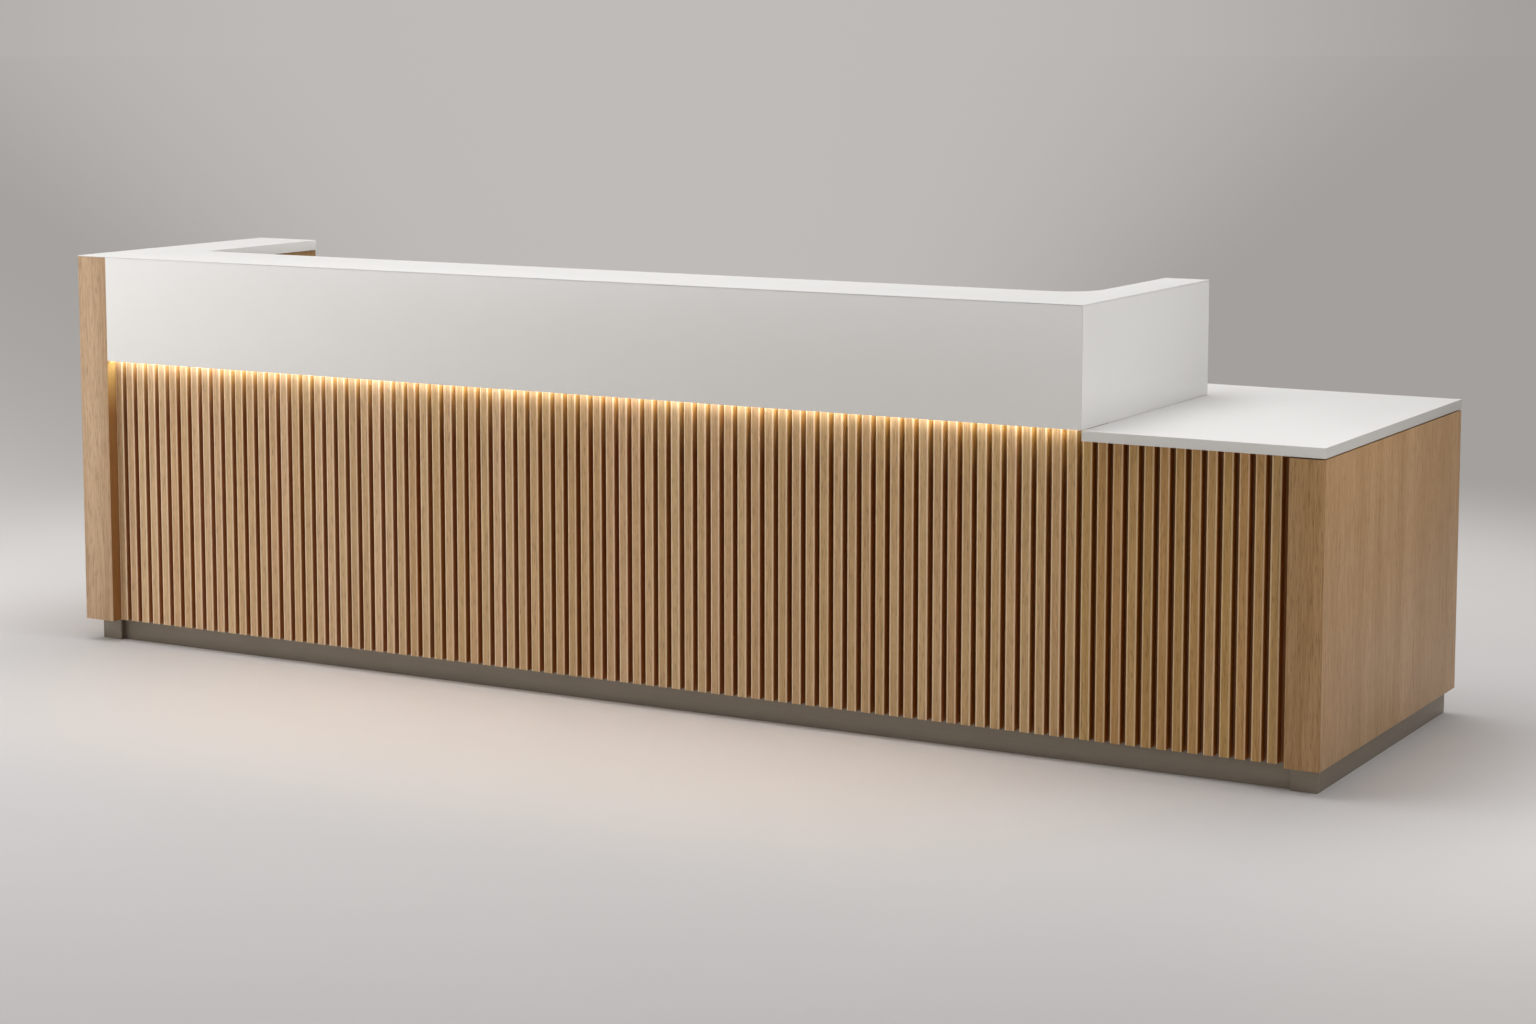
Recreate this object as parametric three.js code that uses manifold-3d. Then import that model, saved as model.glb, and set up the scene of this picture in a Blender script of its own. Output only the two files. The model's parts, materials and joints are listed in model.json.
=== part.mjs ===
// A reception desk: a tall transaction counter with a white fascia over a lit, slatted oak front, and a low
// accessible counter at its right-hand end. The staff side has a worktop, three drawers and a cupboard.
// Millimetres, +Z up. Visitors stand at -Y and staff at +Y. The origin is on the floor, below the middle.
import * as THREE from "three";
import { mergeVertices } from "three/addons/utils/BufferGeometryUtils.js";
import Module from "manifold-3d";

// Overall sizes
const LENGTH = 3670;
const DEPTH = 1025; // of the low end, the deepest part
const HEIGHT = 1100; // top of the transaction counter
const LOW_LENGTH = 595; // low counter, clear of the tall part
const LOW_HEIGHT = 805; // top of the low counter, level with the fascia's lower edge

// Boards and sheets
const PANEL = 22; // veneered end panels
const BOARD = 18; // carcass boards
const SHEET = 12; // white solid-surface sheet
const FIT = 0.3; // gap left at every joint; each of the two pieces gives up half of it

// White counters
const COUNTER_THICKNESS = 30;
const COUNTER_DEPTH = 300; // front run, front to back
const COUNTER_LIP = 3; // thin edge of the counter that laps over the fascia and the oak
const COUNTER_OVERHANG = 3; // of the left arm past its inner panel
const INNER_RADIUS = 100; // inside corner between the front run and the right arm
const RETURN_WIDTH = 120; // right arm
const RETURN_DEPTH = 800;
const LOW_THICKNESS = 25;
const SHADOW_GAP = 3; // dark line between the low counter and the oak below it

// Left end and posts
const LEFT_WIDTH = 212;
const LEFT_DEPTH = 810;
const LEFT_POST_WIDTH = 100;
const RIGHT_POST_WIDTH = 86;

// Slatted front
const SLAT_WIDTH = 25;
const SLAT_DEPTH = 26;
const SLAT_PITCH = 39; // from the left post; what is left over is a gap at the right post
const SLAT_WEB = 4; // sheet that the slats of one panel are glued to
const SLAT_RECESS = 32; // slat faces behind the fascia's face
const SLAT_RISE = 7; // of the slats behind the fascia's lower edge
const TALL_PANELS = 3; // slat panels under the fascia

// Front wall and plinth
const WALL_CAVITY = 60;
const RIBS = 2; // between the two ends of the wall
const PLINTH_HEIGHT = 62;
const PLINTH_SETBACK = 20; // inside the desk's ends
const PLINTH_BLOCK = 66; // width of the blocks that step forward under the posts
const BLOCK_SETBACK = 48; // of those blocks behind the posts' faces

// Light under the fascia
const CHANNEL_WIDTH = 36; // reaches back over the slats, so that the gaps are lit too
const CHANNEL_HEIGHT = 12;
const CHANNEL_WALL = 1.5;
const CHANNEL_RISE = 20; // above the fascia's lower edge
const CHANNEL_END_GAP = 6;
const STRIP_THICKNESS = 1.5;
const DIFFUSER_THICKNESS = 2;
const DRIVER = { length: 160, height: 45, depth: 30, ear: 10, earThickness: 4, fromLeft: 640 };
const LEAD = { radius: 2, bend: 20, straight: 20, holeRadius: 4.5, sides: 10, steps: 24 };

// Staff worktop
const WORKTOP_HEIGHT = 740;
const WORKTOP_THICKNESS = 25;
const WORKTOP_SETBACK = 22; // rear edge inside the left arm's rear edge
const CABLE_GAP = 40; // open slot between the worktop and the wall
const GABLE_SETBACK = 90; // the worktop's support inside its rear edge

// Low cabinet
const FRONT_SETBACK = 32; // drawer and door faces inside the low counter's rear edge
const FRONT_GAP = 3; // between drawer fronts, door and carcass
const DRAWER_BAY = 360;
const SHALLOW_DRAWER = 178; // front height of the two upper drawers
const DRAWER_LENGTH = 600;
const DRAWER_WALL = 12;
const DRAWER_BOX_DROP = 35; // box top below the front's top edge
const DRAWER_BOX_RISE = 15; // box bottom above the front's lower edge
const RUNNER = { depth: 11, height: 40, back: 4, slot: 14, clearance: 2 };
const SHELF_HEIGHT = 430;
const SHELF_SETBACK = 90;
const DOOR_EDGE_GAP = 4; // at the pivoted edge, which needs room to swing
const PIVOT = { inset: 13, radius: 4, length: 12, clearance: 0.5, sides: 24 };
const PIVOT_PLATE = { thickness: 3, length: 28, width: 16 };
const HANDLE = { centres: 128, bar: 10, reach: 28 };
const HANDLE_DROP = 60; // middle of a drawer's handle below the top edge of its front
const DOOR_HANDLE_INSET = 40;
const DOOR_HANDLE_DROP = 150;

// Planes that several pieces share: x from the left end, y from the front, z from the floor
const returnRight = LENGTH - LOW_LENGTH;
const returnLeft = returnRight - RETURN_WIDTH;
const wallEnd = returnRight - SHEET;
const rightInside = LENGTH - PANEL;
const rightPost = LENGTH - RIGHT_POST_WIDTH;
const leftInnerFace = LEFT_WIDTH - COUNTER_OVERHANG;
const webFront = SLAT_RECESS + SLAT_DEPTH;
const backingFront = webFront + SLAT_WEB;
const backingRear = backingFront + BOARD;
const staffPanelFront = backingRear + WALL_CAVITY;
const staffPanelRear = staffPanelFront + BOARD;
const counterUnderside = HEIGHT - COUNTER_THICKNESS;
const lipUnderside = HEIGHT - COUNTER_LIP;
const lowUnderside = LOW_HEIGHT - LOW_THICKNESS;
const lowOakTop = lowUnderside - SHADOW_GAP;
const slatTop = LOW_HEIGHT + SLAT_RISE;
const channelBottom = LOW_HEIGHT + CHANNEL_RISE;
const channelTop = channelBottom + CHANNEL_HEIGHT;
const worktopUnderside = WORKTOP_HEIGHT - WORKTOP_THICKNESS;
const worktopRear = LEFT_DEPTH - WORKTOP_SETBACK;
const cabinetLeft = returnLeft + BOARD;
const cabinetRear = DEPTH - FRONT_SETBACK;
const frontsFront = cabinetRear - BOARD;
const baseTop = PLINTH_HEIGHT + BOARD;
const bayRight = cabinetLeft + DRAWER_BAY;
const cupboardLeft = bayRight + BOARD;
const floor = -FIT / 2; // keeps the face of a standing piece at z = 0

const wasm = await Module();
wasm.setup();

function finish(color, roughness, metalness) {
  return new THREE.MeshStandardMaterial({ color, roughness, metalness });
}

const oakVeneer = () => finish(0xb18f68, 0.5, 0);
const whiteSolidSurface = () => finish(0xe6e4e1, 0.35, 0);
const whiteLaminate = () => finish(0xdedcd8, 0.45, 0);
const plinthMetal = () => finish(0x6f685f, 0.35, 0.8);
const carcassBoard = () => finish(0x6b543c, 0.7, 0);
const aluminium = () => finish(0xb9bbbd, 0.35, 0.9);
const lightTape = () => finish(0xf3e6c4, 0.5, 0);
const opalPlastic = () => finish(0xfff1d6, 0.5, 0);
const birchPly = () => finish(0xcdb48c, 0.6, 0);
const zincSteel = () => finish(0x9a9c9e, 0.35, 0.9);
const satinSteel = () => finish(0x8d8a86, 0.3, 0.9);
const blackPlastic = () => finish(0x2a2a2b, 0.5, 0);

function vector(x, y, z) {
  return new THREE.Vector3(x, y, z);
}

// Turns for the three directions of a solid: "x" takes (y, z) outlines, "y" takes (x, z) and "z" takes (x, y)
const TURNS = {
  x: new THREE.Matrix4().makeBasis(vector(0, 1, 0), vector(0, 0, 1), vector(1, 0, 0)),
  y: new THREE.Matrix4().makeBasis(vector(1, 0, 0), vector(0, 0, 1), vector(0, -1, 0)),
  z: new THREE.Matrix4(),
};

function rectangle(a0, b0, a1, b1) {
  return [[a0, b0], [a1, b0], [a1, b1], [a0, b1]];
}

// An outline drawn anticlockwise, with each of its edges moved inwards by a distance.
function insetOutline(points, distance) {
  const count = points.length;
  return points.map(([x, y], i) => {
    const before = points[(i + count - 1) % count];
    const after = points[(i + 1) % count];
    const arriving = new THREE.Vector2(x - before[0], y - before[1]).normalize();
    const leaving = new THREE.Vector2(after[0] - x, after[1] - y).normalize();
    const shift = distance / (1 + arriving.dot(leaving));
    return new THREE.Vector2(x - (arriving.y + leaving.y) * shift, y + (arriving.x + leaving.x) * shift);
  });
}

// A solid of constant section between two planes, half a joint gap smaller all round.
function prism(name, material, direction, outline, from, to, holes = []) {
  const shape = new THREE.Shape(insetOutline(outline, FIT / 2));
  shape.holes.push(...holes);
  const depth = to - from - FIT;
  const geometry = new THREE.ExtrudeGeometry(shape, { depth, bevelEnabled: false, steps: 1 });
  const mesh = new THREE.Mesh(geometry, material);
  mesh.name = name;
  mesh.quaternion.setFromRotationMatrix(TURNS[direction]);
  if (direction === "x") mesh.position.x = from + FIT / 2;
  if (direction === "y") mesh.position.y = to - FIT / 2;
  if (direction === "z") mesh.position.z = from + FIT / 2;
  return mesh;
}

// A rectangular board between two corners.
function board(name, material, [x0, y0, z0], [x1, y1, z1]) {
  return prism(name, material, "z", rectangle(x0, y0, x1, y1), z0, z1);
}

function solidOf(mesh) {
  mesh.updateMatrix();
  const loose = mesh.geometry.clone().applyMatrix4(mesh.matrix);
  loose.deleteAttribute("normal");
  loose.deleteAttribute("uv");
  const welded = mergeVertices(loose);
  const vertProperties = new Float32Array(welded.attributes.position.array);
  const triVerts = new Uint32Array(welded.index.array);
  return new wasm.Manifold(new wasm.Mesh({ numProp: 3, vertProperties, triVerts }));
}

function meshOf(name, material, solid) {
  const { vertProperties, triVerts } = solid.getMesh();
  const geometry = new THREE.BufferGeometry();
  geometry.setAttribute("position", new THREE.BufferAttribute(new Float32Array(vertProperties), 3));
  geometry.setIndex(new THREE.BufferAttribute(new Uint32Array(triVerts), 1));
  geometry.computeVertexNormals();
  const mesh = new THREE.Mesh(geometry, material);
  mesh.name = name;
  return mesh;
}

function upright(radius, sides, x, y, z0, z1) {
  const mesh = new THREE.Mesh(new THREE.CylinderGeometry(radius, radius, z1 - z0, sides));
  mesh.rotation.x = Math.PI / 2;
  mesh.position.set(x, y, (z0 + z1) / 2);
  return mesh;
}

function group(name, pieces) {
  const made = new THREE.Group();
  made.name = name;
  made.add(...pieces);
  return made;
}

// Metal-faced boards that the desk stands on
function plinth() {
  const left = PLINTH_SETBACK;
  const right = LENGTH - PLINTH_SETBACK;
  const rear = cabinetRear - PLINTH_SETBACK;
  const run = (name, x0, y0, x1, y1) => board(name, plinthMetal(), [x0, y0, floor], [x1, y1, PLINTH_HEIGHT]);
  return group("plinth", [
    run("plinth_front", left + BOARD, backingFront, right - BOARD, backingRear),
    run("plinth_left_block", left, BLOCK_SETBACK, left + PLINTH_BLOCK, backingFront),
    run("plinth_left_side", left, backingFront, left + BOARD, LEFT_DEPTH - PANEL),
    run("plinth_right_block", right - PLINTH_BLOCK, BLOCK_SETBACK, right, backingFront),
    run("plinth_right_side", right - BOARD, backingFront, right, DEPTH - PLINTH_SETBACK),
    run("plinth_rear", cabinetLeft, rear - BOARD, right - BOARD, rear),
  ]);
}

// Hollow oak end under the left arm of the counter; post and end panel meet in a mitre
function leftEnd() {
  const innerLeft = leftInnerFace - PANEL;
  const panelPlan = [[0, 0], [PANEL, PANEL], [PANEL, LEFT_DEPTH], [0, LEFT_DEPTH]];
  const postPlan = [
    [0, 0], [LEFT_POST_WIDTH, 0], [LEFT_POST_WIDTH, backingFront], [PANEL, backingFront], [PANEL, PANEL],
  ];
  return group("left_end", [
    prism("left_end_panel", oakVeneer(), "z", panelPlan, PLINTH_HEIGHT, lipUnderside),
    prism("left_front_post", oakVeneer(), "z", postPlan, PLINTH_HEIGHT, lipUnderside),
    board("left_inner_panel", oakVeneer(), [innerLeft, backingRear, floor],
      [leftInnerFace, LEFT_DEPTH, counterUnderside]),
    board("left_rear_panel", oakVeneer(), [PANEL, LEFT_DEPTH - PANEL, floor],
      [innerLeft, LEFT_DEPTH, counterUnderside]),
  ]);
}

// Right-hand post and end panel, mitred like the left ones and kept just below the low counter
function rightEnd() {
  const panelPlan = [[LENGTH, 0], [LENGTH, DEPTH], [rightInside, DEPTH], [rightInside, PANEL]];
  const postPlan = [
    [rightPost, 0], [LENGTH, 0], [rightInside, PANEL], [rightInside, backingFront], [rightPost, backingFront],
  ];
  return group("right_end", [
    prism("right_end_panel", oakVeneer(), "z", panelPlan, PLINTH_HEIGHT, lowOakTop),
    prism("right_front_post", oakVeneer(), "z", postPlan, PLINTH_HEIGHT, lowOakTop),
  ]);
}

// Height outline of a board that runs to the right-hand end: tall under the counter, lower under the low one.
// It starts with the corners along its lower edge, from the left.
function steppedOutline(...lowerCorners) {
  return [
    ...lowerCorners, [rightInside, PLINTH_HEIGHT], [rightInside, lowUnderside],
    [wallEnd, lowUnderside], [wallEnd, counterUnderside], [lowerCorners[0][0], counterUnderside],
  ];
}

function leadHole() {
  const { x, z } = leadTurn();
  const hole = new THREE.Path();
  hole.absarc(x, z, LEAD.holeRadius, 0, 2 * Math.PI, true);
  return new THREE.Path(hole.getPoints(8).slice(0, -1));
}

// Backing board, ribs and staff-side panel, with a core board that carries the fascia
function frontWall() {
  const backing = steppedOutline([PANEL, PLINTH_HEIGHT]);
  const staffSide = steppedOutline([leftInnerFace, floor], [returnLeft, floor], [returnLeft, PLINTH_HEIGHT]);
  const wall = group("front_wall", [
    prism("backing_board", carcassBoard(), "y", backing, backingFront, backingRear, [leadHole()]),
    prism("staff_panel", oakVeneer(), "y", staffSide, staffPanelFront, staffPanelRear),
    board("fascia_core", carcassBoard(), [LEFT_POST_WIDTH, SHEET, channelTop],
      [wallEnd, backingFront, counterUnderside]),
    rib("wall_end", wallEnd - BOARD),
  ]);
  for (let i = 1; i <= RIBS; i += 1) {
    const middle = leftInnerFace + ((wallEnd - leftInnerFace) * i) / (RIBS + 1);
    wall.add(rib(`wall_rib_${i}`, middle - BOARD / 2));
  }
  return wall;
}

function rib(name, x) {
  return board(name, carcassBoard(), [x, backingRear, floor], [x + BOARD, staffPanelFront, counterUnderside]);
}

// Plan outline of the slats from one number up to another, joined by their web
function combPlan(firstSlat, endSlat, webLeft, webRight) {
  const plan = [];
  for (let i = firstSlat; i < endSlat; i += 1) {
    const x = LEFT_POST_WIDTH + i * SLAT_PITCH;
    if (x > webLeft + FIT) {
      if (i === firstSlat) plan.push([webLeft, webFront]);
      plan.push([x, webFront]);
    }
    plan.push([x, SLAT_RECESS], [x + SLAT_WIDTH, SLAT_RECESS], [x + SLAT_WIDTH, webFront]);
  }
  plan.push([webRight, webFront], [webRight, backingFront], [webLeft, backingFront]);
  return plan;
}

// Oak slat panels: tall ones that end behind the fascia, and one under the low counter
function slattedFront() {
  const slatsUpTo = (end) => Math.floor((end - LEFT_POST_WIDTH - SLAT_WIDTH) / SLAT_PITCH) + 1;
  const count = slatsUpTo(rightPost);
  const tallCount = slatsUpTo(wallEnd);
  const panels = new THREE.Group();
  panels.name = "slatted_front";
  for (let i = 0; i < TALL_PANELS; i += 1) {
    const first = Math.round((tallCount * i) / TALL_PANELS);
    const end = Math.round((tallCount * (i + 1)) / TALL_PANELS);
    const webRight = end === tallCount ? wallEnd : LEFT_POST_WIDTH + end * SLAT_PITCH;
    const plan = combPlan(first, end, LEFT_POST_WIDTH + first * SLAT_PITCH, webRight);
    panels.add(prism(`slat_panel_${i + 1}`, oakVeneer(), "z", plan, PLINTH_HEIGHT, slatTop));
  }
  const lowPlan = combPlan(tallCount, count, wallEnd, rightPost);
  panels.add(prism("slat_panel_low", oakVeneer(), "z", lowPlan, PLINTH_HEIGHT, lowUnderside));
  return panels;
}

// Where the lead from the driver has turned towards the light channel
function leadTurn() {
  const x = DRIVER.fromLeft + DRIVER.ear - LEAD.straight - LEAD.bend;
  const y = backingRear + DRIVER.depth / 2 - LEAD.bend;
  return vector(x, y, (channelBottom + channelTop) / 2);
}

function lightLead() {
  const turn = leadTurn();
  const y = turn.y + LEAD.bend;
  const z = turn.z;
  const bendStart = vector(turn.x + LEAD.bend, y, z);
  const route = new THREE.CurvePath();
  route.add(new THREE.LineCurve3(vector(bendStart.x + LEAD.straight - FIT, y, z), bendStart));
  route.add(new THREE.QuadraticBezierCurve3(bendStart, vector(turn.x, y, z), turn));
  route.add(new THREE.LineCurve3(turn, vector(turn.x, SHEET + CHANNEL_WIDTH + FIT / 2, z)));
  const section = new THREE.Shape();
  section.absarc(0, 0, LEAD.radius, 0, 2 * Math.PI, false);
  const outline = new THREE.Shape(section.getPoints(LEAD.sides / 2).slice(0, -1));
  const mesh = new THREE.Mesh(
    new THREE.ExtrudeGeometry(outline, { steps: LEAD.steps, extrudePath: route, bevelEnabled: false }),
    blackPlastic(),
  );
  mesh.name = "light_lead";
  return mesh;
}

function lightDriver() {
  const { length, height, depth, ear, earThickness, fromLeft } = DRIVER;
  const middle = (channelBottom + channelTop) / 2;
  const x0 = fromLeft;
  const x1 = fromLeft + length + 2 * ear;
  const y = backingRear;
  const plan = [
    [x0, y], [x1, y], [x1, y + earThickness], [x1 - ear, y + earThickness],
    [x1 - ear, y + depth], [x0 + ear, y + depth], [x0 + ear, y + earThickness], [x0, y + earThickness],
  ];
  return prism("light_driver", blackPlastic(), "z", plan, middle - height / 2, middle + height / 2);
}

// Light channel behind the fascia with its open side down, its tape, its cover, and the driver in the wall
function lighting() {
  const x0 = LEFT_POST_WIDTH + CHANNEL_END_GAP;
  const x1 = wallEnd - CHANNEL_END_GAP;
  const y0 = SHEET;
  const y1 = SHEET + CHANNEL_WIDTH;
  const inner0 = y0 + CHANNEL_WALL;
  const inner1 = y1 - CHANNEL_WALL;
  const ceiling = channelTop - CHANNEL_WALL;
  const section = [
    [y0, channelBottom], [inner0, channelBottom], [inner0, ceiling], [inner1, ceiling],
    [inner1, channelBottom], [y1, channelBottom], [y1, channelTop], [y0, channelTop],
  ];
  const tape = rectangle(inner0, ceiling - STRIP_THICKNESS, inner1, ceiling);
  const cover = rectangle(inner0, channelBottom, inner1, channelBottom + DIFFUSER_THICKNESS);
  return group("lighting", [
    prism("light_channel", aluminium(), "x", section, x0, x1),
    prism("light_tape", lightTape(), "x", tape, x0, x1),
    prism("light_diffuser", opalPlastic(), "x", cover, x0, x1),
    lightDriver(),
    lightLead(),
  ]);
}

// Inside edge of the counter in plan, from the rear of its right arm to the rear of its left arm
function counterInside() {
  const bend = new THREE.Path();
  const centre = [returnLeft - INNER_RADIUS, COUNTER_DEPTH + INNER_RADIUS];
  bend.absarc(...centre, INNER_RADIUS, 0, -Math.PI / 2, true);
  return [
    [returnLeft, RETURN_DEPTH],
    ...bend.getPoints(16).map((point) => [point.x, point.y]),
    [LEFT_WIDTH, COUNTER_DEPTH],
    [LEFT_WIDTH, LEFT_DEPTH],
  ];
}

// U-shaped slab whose thin lip covers the top edges of the oak and of the white sheets
function counterTop() {
  const lipPlan = [
    [0, 0], [returnRight, 0], [returnRight, RETURN_DEPTH], ...counterInside(), [0, LEFT_DEPTH],
  ];
  const bodyPlan = [
    [PANEL, backingFront], [LEFT_POST_WIDTH, backingFront], [LEFT_POST_WIDTH, SHEET], [wallEnd, SHEET],
    [wallEnd, RETURN_DEPTH], ...counterInside(), [PANEL, LEFT_DEPTH],
  ];
  const material = whiteSolidSurface();
  const lip = prism("lip", material, "z", lipPlan, lipUnderside, HEIGHT);
  const body = prism("body", material, "z", bodyPlan, counterUnderside, lipUnderside + COUNTER_LIP / 2);
  return meshOf("counter_top", material, solidOf(lip).add(solidOf(body)));
}

// White counter, fascia and right return; fascia and return meet in a mitre
function whiteParts() {
  const fasciaPlan = [[LEFT_POST_WIDTH, 0], [returnRight, 0], [wallEnd, SHEET], [LEFT_POST_WIDTH, SHEET]];
  const outerPlan = [
    [returnRight, 0], [returnRight, RETURN_DEPTH], [wallEnd, RETURN_DEPTH], [wallEnd, SHEET],
  ];
  const lowPlan = [
    [returnRight, 0], [LENGTH, 0], [LENGTH, DEPTH], [returnLeft, DEPTH],
    [returnLeft, staffPanelRear], [returnRight, staffPanelRear],
  ];
  const rear = RETURN_DEPTH - SHEET;
  return group("white_parts", [
    counterTop(),
    prism("fascia_front", whiteSolidSurface(), "z", fasciaPlan, LOW_HEIGHT, lipUnderside),
    prism("return_outer", whiteSolidSurface(), "z", outerPlan, LOW_HEIGHT, lipUnderside),
    board("return_inner", whiteSolidSurface(), [returnLeft, staffPanelRear, LOW_HEIGHT],
      [returnLeft + SHEET, rear, counterUnderside]),
    board("return_rear", whiteSolidSurface(), [returnLeft, rear, LOW_HEIGHT],
      [wallEnd, RETURN_DEPTH, counterUnderside]),
    prism("low_counter_top", whiteSolidSurface(), "z", lowPlan, lowUnderside, LOW_HEIGHT),
  ]);
}

// Staff worktop between the left end and the low cabinet, with a support in the middle
function staffDesk() {
  const middle = (leftInnerFace + returnLeft) / 2;
  return group("staff_desk", [
    board("staff_worktop", whiteLaminate(), [leftInnerFace, staffPanelRear + CABLE_GAP, worktopUnderside],
      [returnLeft, worktopRear, WORKTOP_HEIGHT]),
    board("worktop_gable", oakVeneer(), [middle - BOARD / 2, staffPanelRear, floor],
      [middle + BOARD / 2, worktopRear - GABLE_SETBACK, worktopUnderside]),
  ]);
}

// Carcass under the low counter: a drawer bay at the left and a cupboard at the right, both open to the rear
function lowCabinet() {
  return group("low_cabinet", [
    board("cabinet_side", oakVeneer(), [returnLeft, staffPanelRear, floor],
      [cabinetLeft, cabinetRear, lowUnderside]),
    board("cabinet_base", oakVeneer(), [cabinetLeft, staffPanelRear, PLINTH_HEIGHT],
      [rightInside, cabinetRear, baseTop]),
    board("cabinet_divider", oakVeneer(), [bayRight, staffPanelRear, baseTop],
      [cupboardLeft, cabinetRear, lowUnderside]),
    board("cupboard_shelf", oakVeneer(), [cupboardLeft, staffPanelRear, SHELF_HEIGHT],
      [rightInside, frontsFront - SHELF_SETBACK, SHELF_HEIGHT + BOARD]),
  ]);
}

// Outline of a bow handle: along the face it is fixed to, then out from that face
function handleOutline() {
  const { centres, bar, reach } = HANDLE;
  const outer = (centres + bar) / 2;
  const inner = (centres - bar) / 2;
  return [
    [-outer, 0], [-inner, 0], [-inner, reach - bar], [inner, reach - bar],
    [inner, 0], [outer, 0], [outer, reach], [-outer, reach],
  ];
}

// Drawer box with open top and a rail along each side
function drawerBox(name, height, railMiddle) {
  const side = RUNNER.depth + RUNNER.clearance;
  const x0 = cabinetLeft + side;
  const x1 = bayRight - side;
  const y0 = frontsFront - DRAWER_LENGTH;
  const y1 = frontsFront;
  const z0 = DRAWER_BOX_RISE;
  const z1 = height - DRAWER_BOX_DROP;
  const wall = DRAWER_WALL;
  const reach = side - RUNNER.back - RUNNER.clearance;
  const rail0 = railMiddle - RUNNER.slot / 2;
  const rail1 = railMiddle + RUNNER.slot / 2 - RUNNER.clearance;
  const material = birchPly();
  const cavity = board("cavity", material, [x0 + wall, y0 + wall, z0 + wall],
    [x1 - wall, y1 - wall, z1 + wall]);
  const leftRail = board("rail", material, [x0 - reach, y0, rail0], [x0 + wall / 2, y1, rail1]);
  const rightRail = board("rail", material, [x1 - wall / 2, y0, rail0], [x1 + reach, y1, rail1]);
  const shell = solidOf(board("shell", material, [x0, y0, z0], [x1, y1, z1])).subtract(solidOf(cavity));
  return meshOf(name, material, shell.add(solidOf(leftRail)).add(solidOf(rightRail)));
}

// Steel runner with a slot for the drawer's rail; "way" is 1 for the left one and -1 for the right one
function drawerRunner(name, way, railMiddle) {
  const wall = way > 0 ? cabinetLeft : bayRight;
  const half = RUNNER.height / 2;
  const slot = RUNNER.slot / 2;
  const section = [
    [0, -half], [RUNNER.depth, -half], [RUNNER.depth, -slot], [RUNNER.back, -slot],
    [RUNNER.back, slot], [RUNNER.depth, slot], [RUNNER.depth, half], [0, half],
  ].map(([out, up]) => [wall + way * out, railMiddle + up]);
  if (way < 0) section.reverse();
  return prism(name, zincSteel(), "y", section, frontsFront - DRAWER_LENGTH, frontsFront);
}

function drawer(number, bottom, height) {
  const middle = (cabinetLeft + bayRight) / 2;
  const railMiddle = (DRAWER_BOX_RISE + height - DRAWER_BOX_DROP) / 2;
  const handlePlan = handleOutline().map(([along, out]) => [middle + along, cabinetRear + out]);
  const handleBottom = height - HANDLE_DROP - HANDLE.bar / 2;
  const made = group(`drawer_${number}`, [
    board(`drawer_front_${number}`, oakVeneer(), [cabinetLeft + FRONT_GAP, frontsFront, 0],
      [bayRight - FRONT_GAP, cabinetRear, height]),
    drawerBox(`drawer_box_${number}`, height, railMiddle),
    prism(`drawer_handle_${number}`, satinSteel(), "z", handlePlan, handleBottom, handleBottom + HANDLE.bar),
    drawerRunner(`runner_left_${number}`, 1, railMiddle),
    drawerRunner(`runner_right_${number}`, -1, railMiddle),
  ]);
  made.position.z = bottom;
  return made;
}

// Two shallow drawers over a deep one that takes the height left
function drawers() {
  const top = lowUnderside - FRONT_GAP;
  const upper = top - SHALLOW_DRAWER;
  const middle = upper - FRONT_GAP - SHALLOW_DRAWER;
  const bottom = baseTop + FRONT_GAP;
  return group("drawers", [
    drawer(1, upper, SHALLOW_DRAWER),
    drawer(2, middle, SHALLOW_DRAWER),
    drawer(3, bottom, middle - FRONT_GAP - bottom),
  ]);
}

// A plate with a pin, up from the base or down from the counter; "way" is 1 or -1
function pivot(name, way, seat) {
  const { thickness, length, width } = PIVOT_PLATE;
  const x = rightInside - DOOR_EDGE_GAP - PIVOT.inset;
  const y = (frontsFront + cabinetRear) / 2;
  const face = seat + way * thickness;
  const material = zincSteel();
  const flat = board("flat", material, [x - length / 2, y - width / 2, Math.min(seat, face)],
    [x + length / 2, y + width / 2, Math.max(seat, face)]);
  const tip = face + way * PIVOT.length;
  const root = seat + (way * thickness) / 2;
  const pin = upright(PIVOT.radius, PIVOT.sides, x, y, Math.min(root, tip), Math.max(root, tip));
  return meshOf(name, material, solidOf(flat).add(solidOf(pin)));
}

// Door that turns on a pin at its upper and lower right-hand corners
function cupboardDoor() {
  const bottom = baseTop + PIVOT_PLATE.thickness;
  const top = lowUnderside - PIVOT_PLATE.thickness - FRONT_GAP / 2;
  const right = rightInside - DOOR_EDGE_GAP;
  const x = right - PIVOT.inset;
  const y = (frontsFront + cabinetRear) / 2;
  const bore = PIVOT.radius + PIVOT.clearance;
  const material = oakVeneer();
  const leaf = board("leaf", material, [cupboardLeft + FRONT_GAP, frontsFront, bottom],
    [right, cabinetRear, top]);
  const lower = upright(bore, PIVOT.sides, x, y, bottom - PIVOT.length, bottom + PIVOT.length + 1);
  const upper = upright(bore, PIVOT.sides, x, y, top - PIVOT.length - 1, top + PIVOT.length);
  return meshOf("cupboard_door", material, solidOf(leaf).subtract(solidOf(lower)).subtract(solidOf(upper)));
}

function cupboardHandle() {
  const x = cupboardLeft + FRONT_GAP + DOOR_HANDLE_INSET;
  const z = lowUnderside - DOOR_HANDLE_DROP;
  const section = handleOutline().map(([along, out]) => [cabinetRear + out, z + along]).reverse();
  return prism("cupboard_handle", satinSteel(), "x", section, x - HANDLE.bar / 2, x + HANDLE.bar / 2);
}

function cupboard() {
  return group("cupboard", [
    cupboardDoor(),
    cupboardHandle(),
    pivot("pivot_lower", 1, baseTop),
    pivot("pivot_upper", -1, lowUnderside),
  ]);
}

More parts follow.
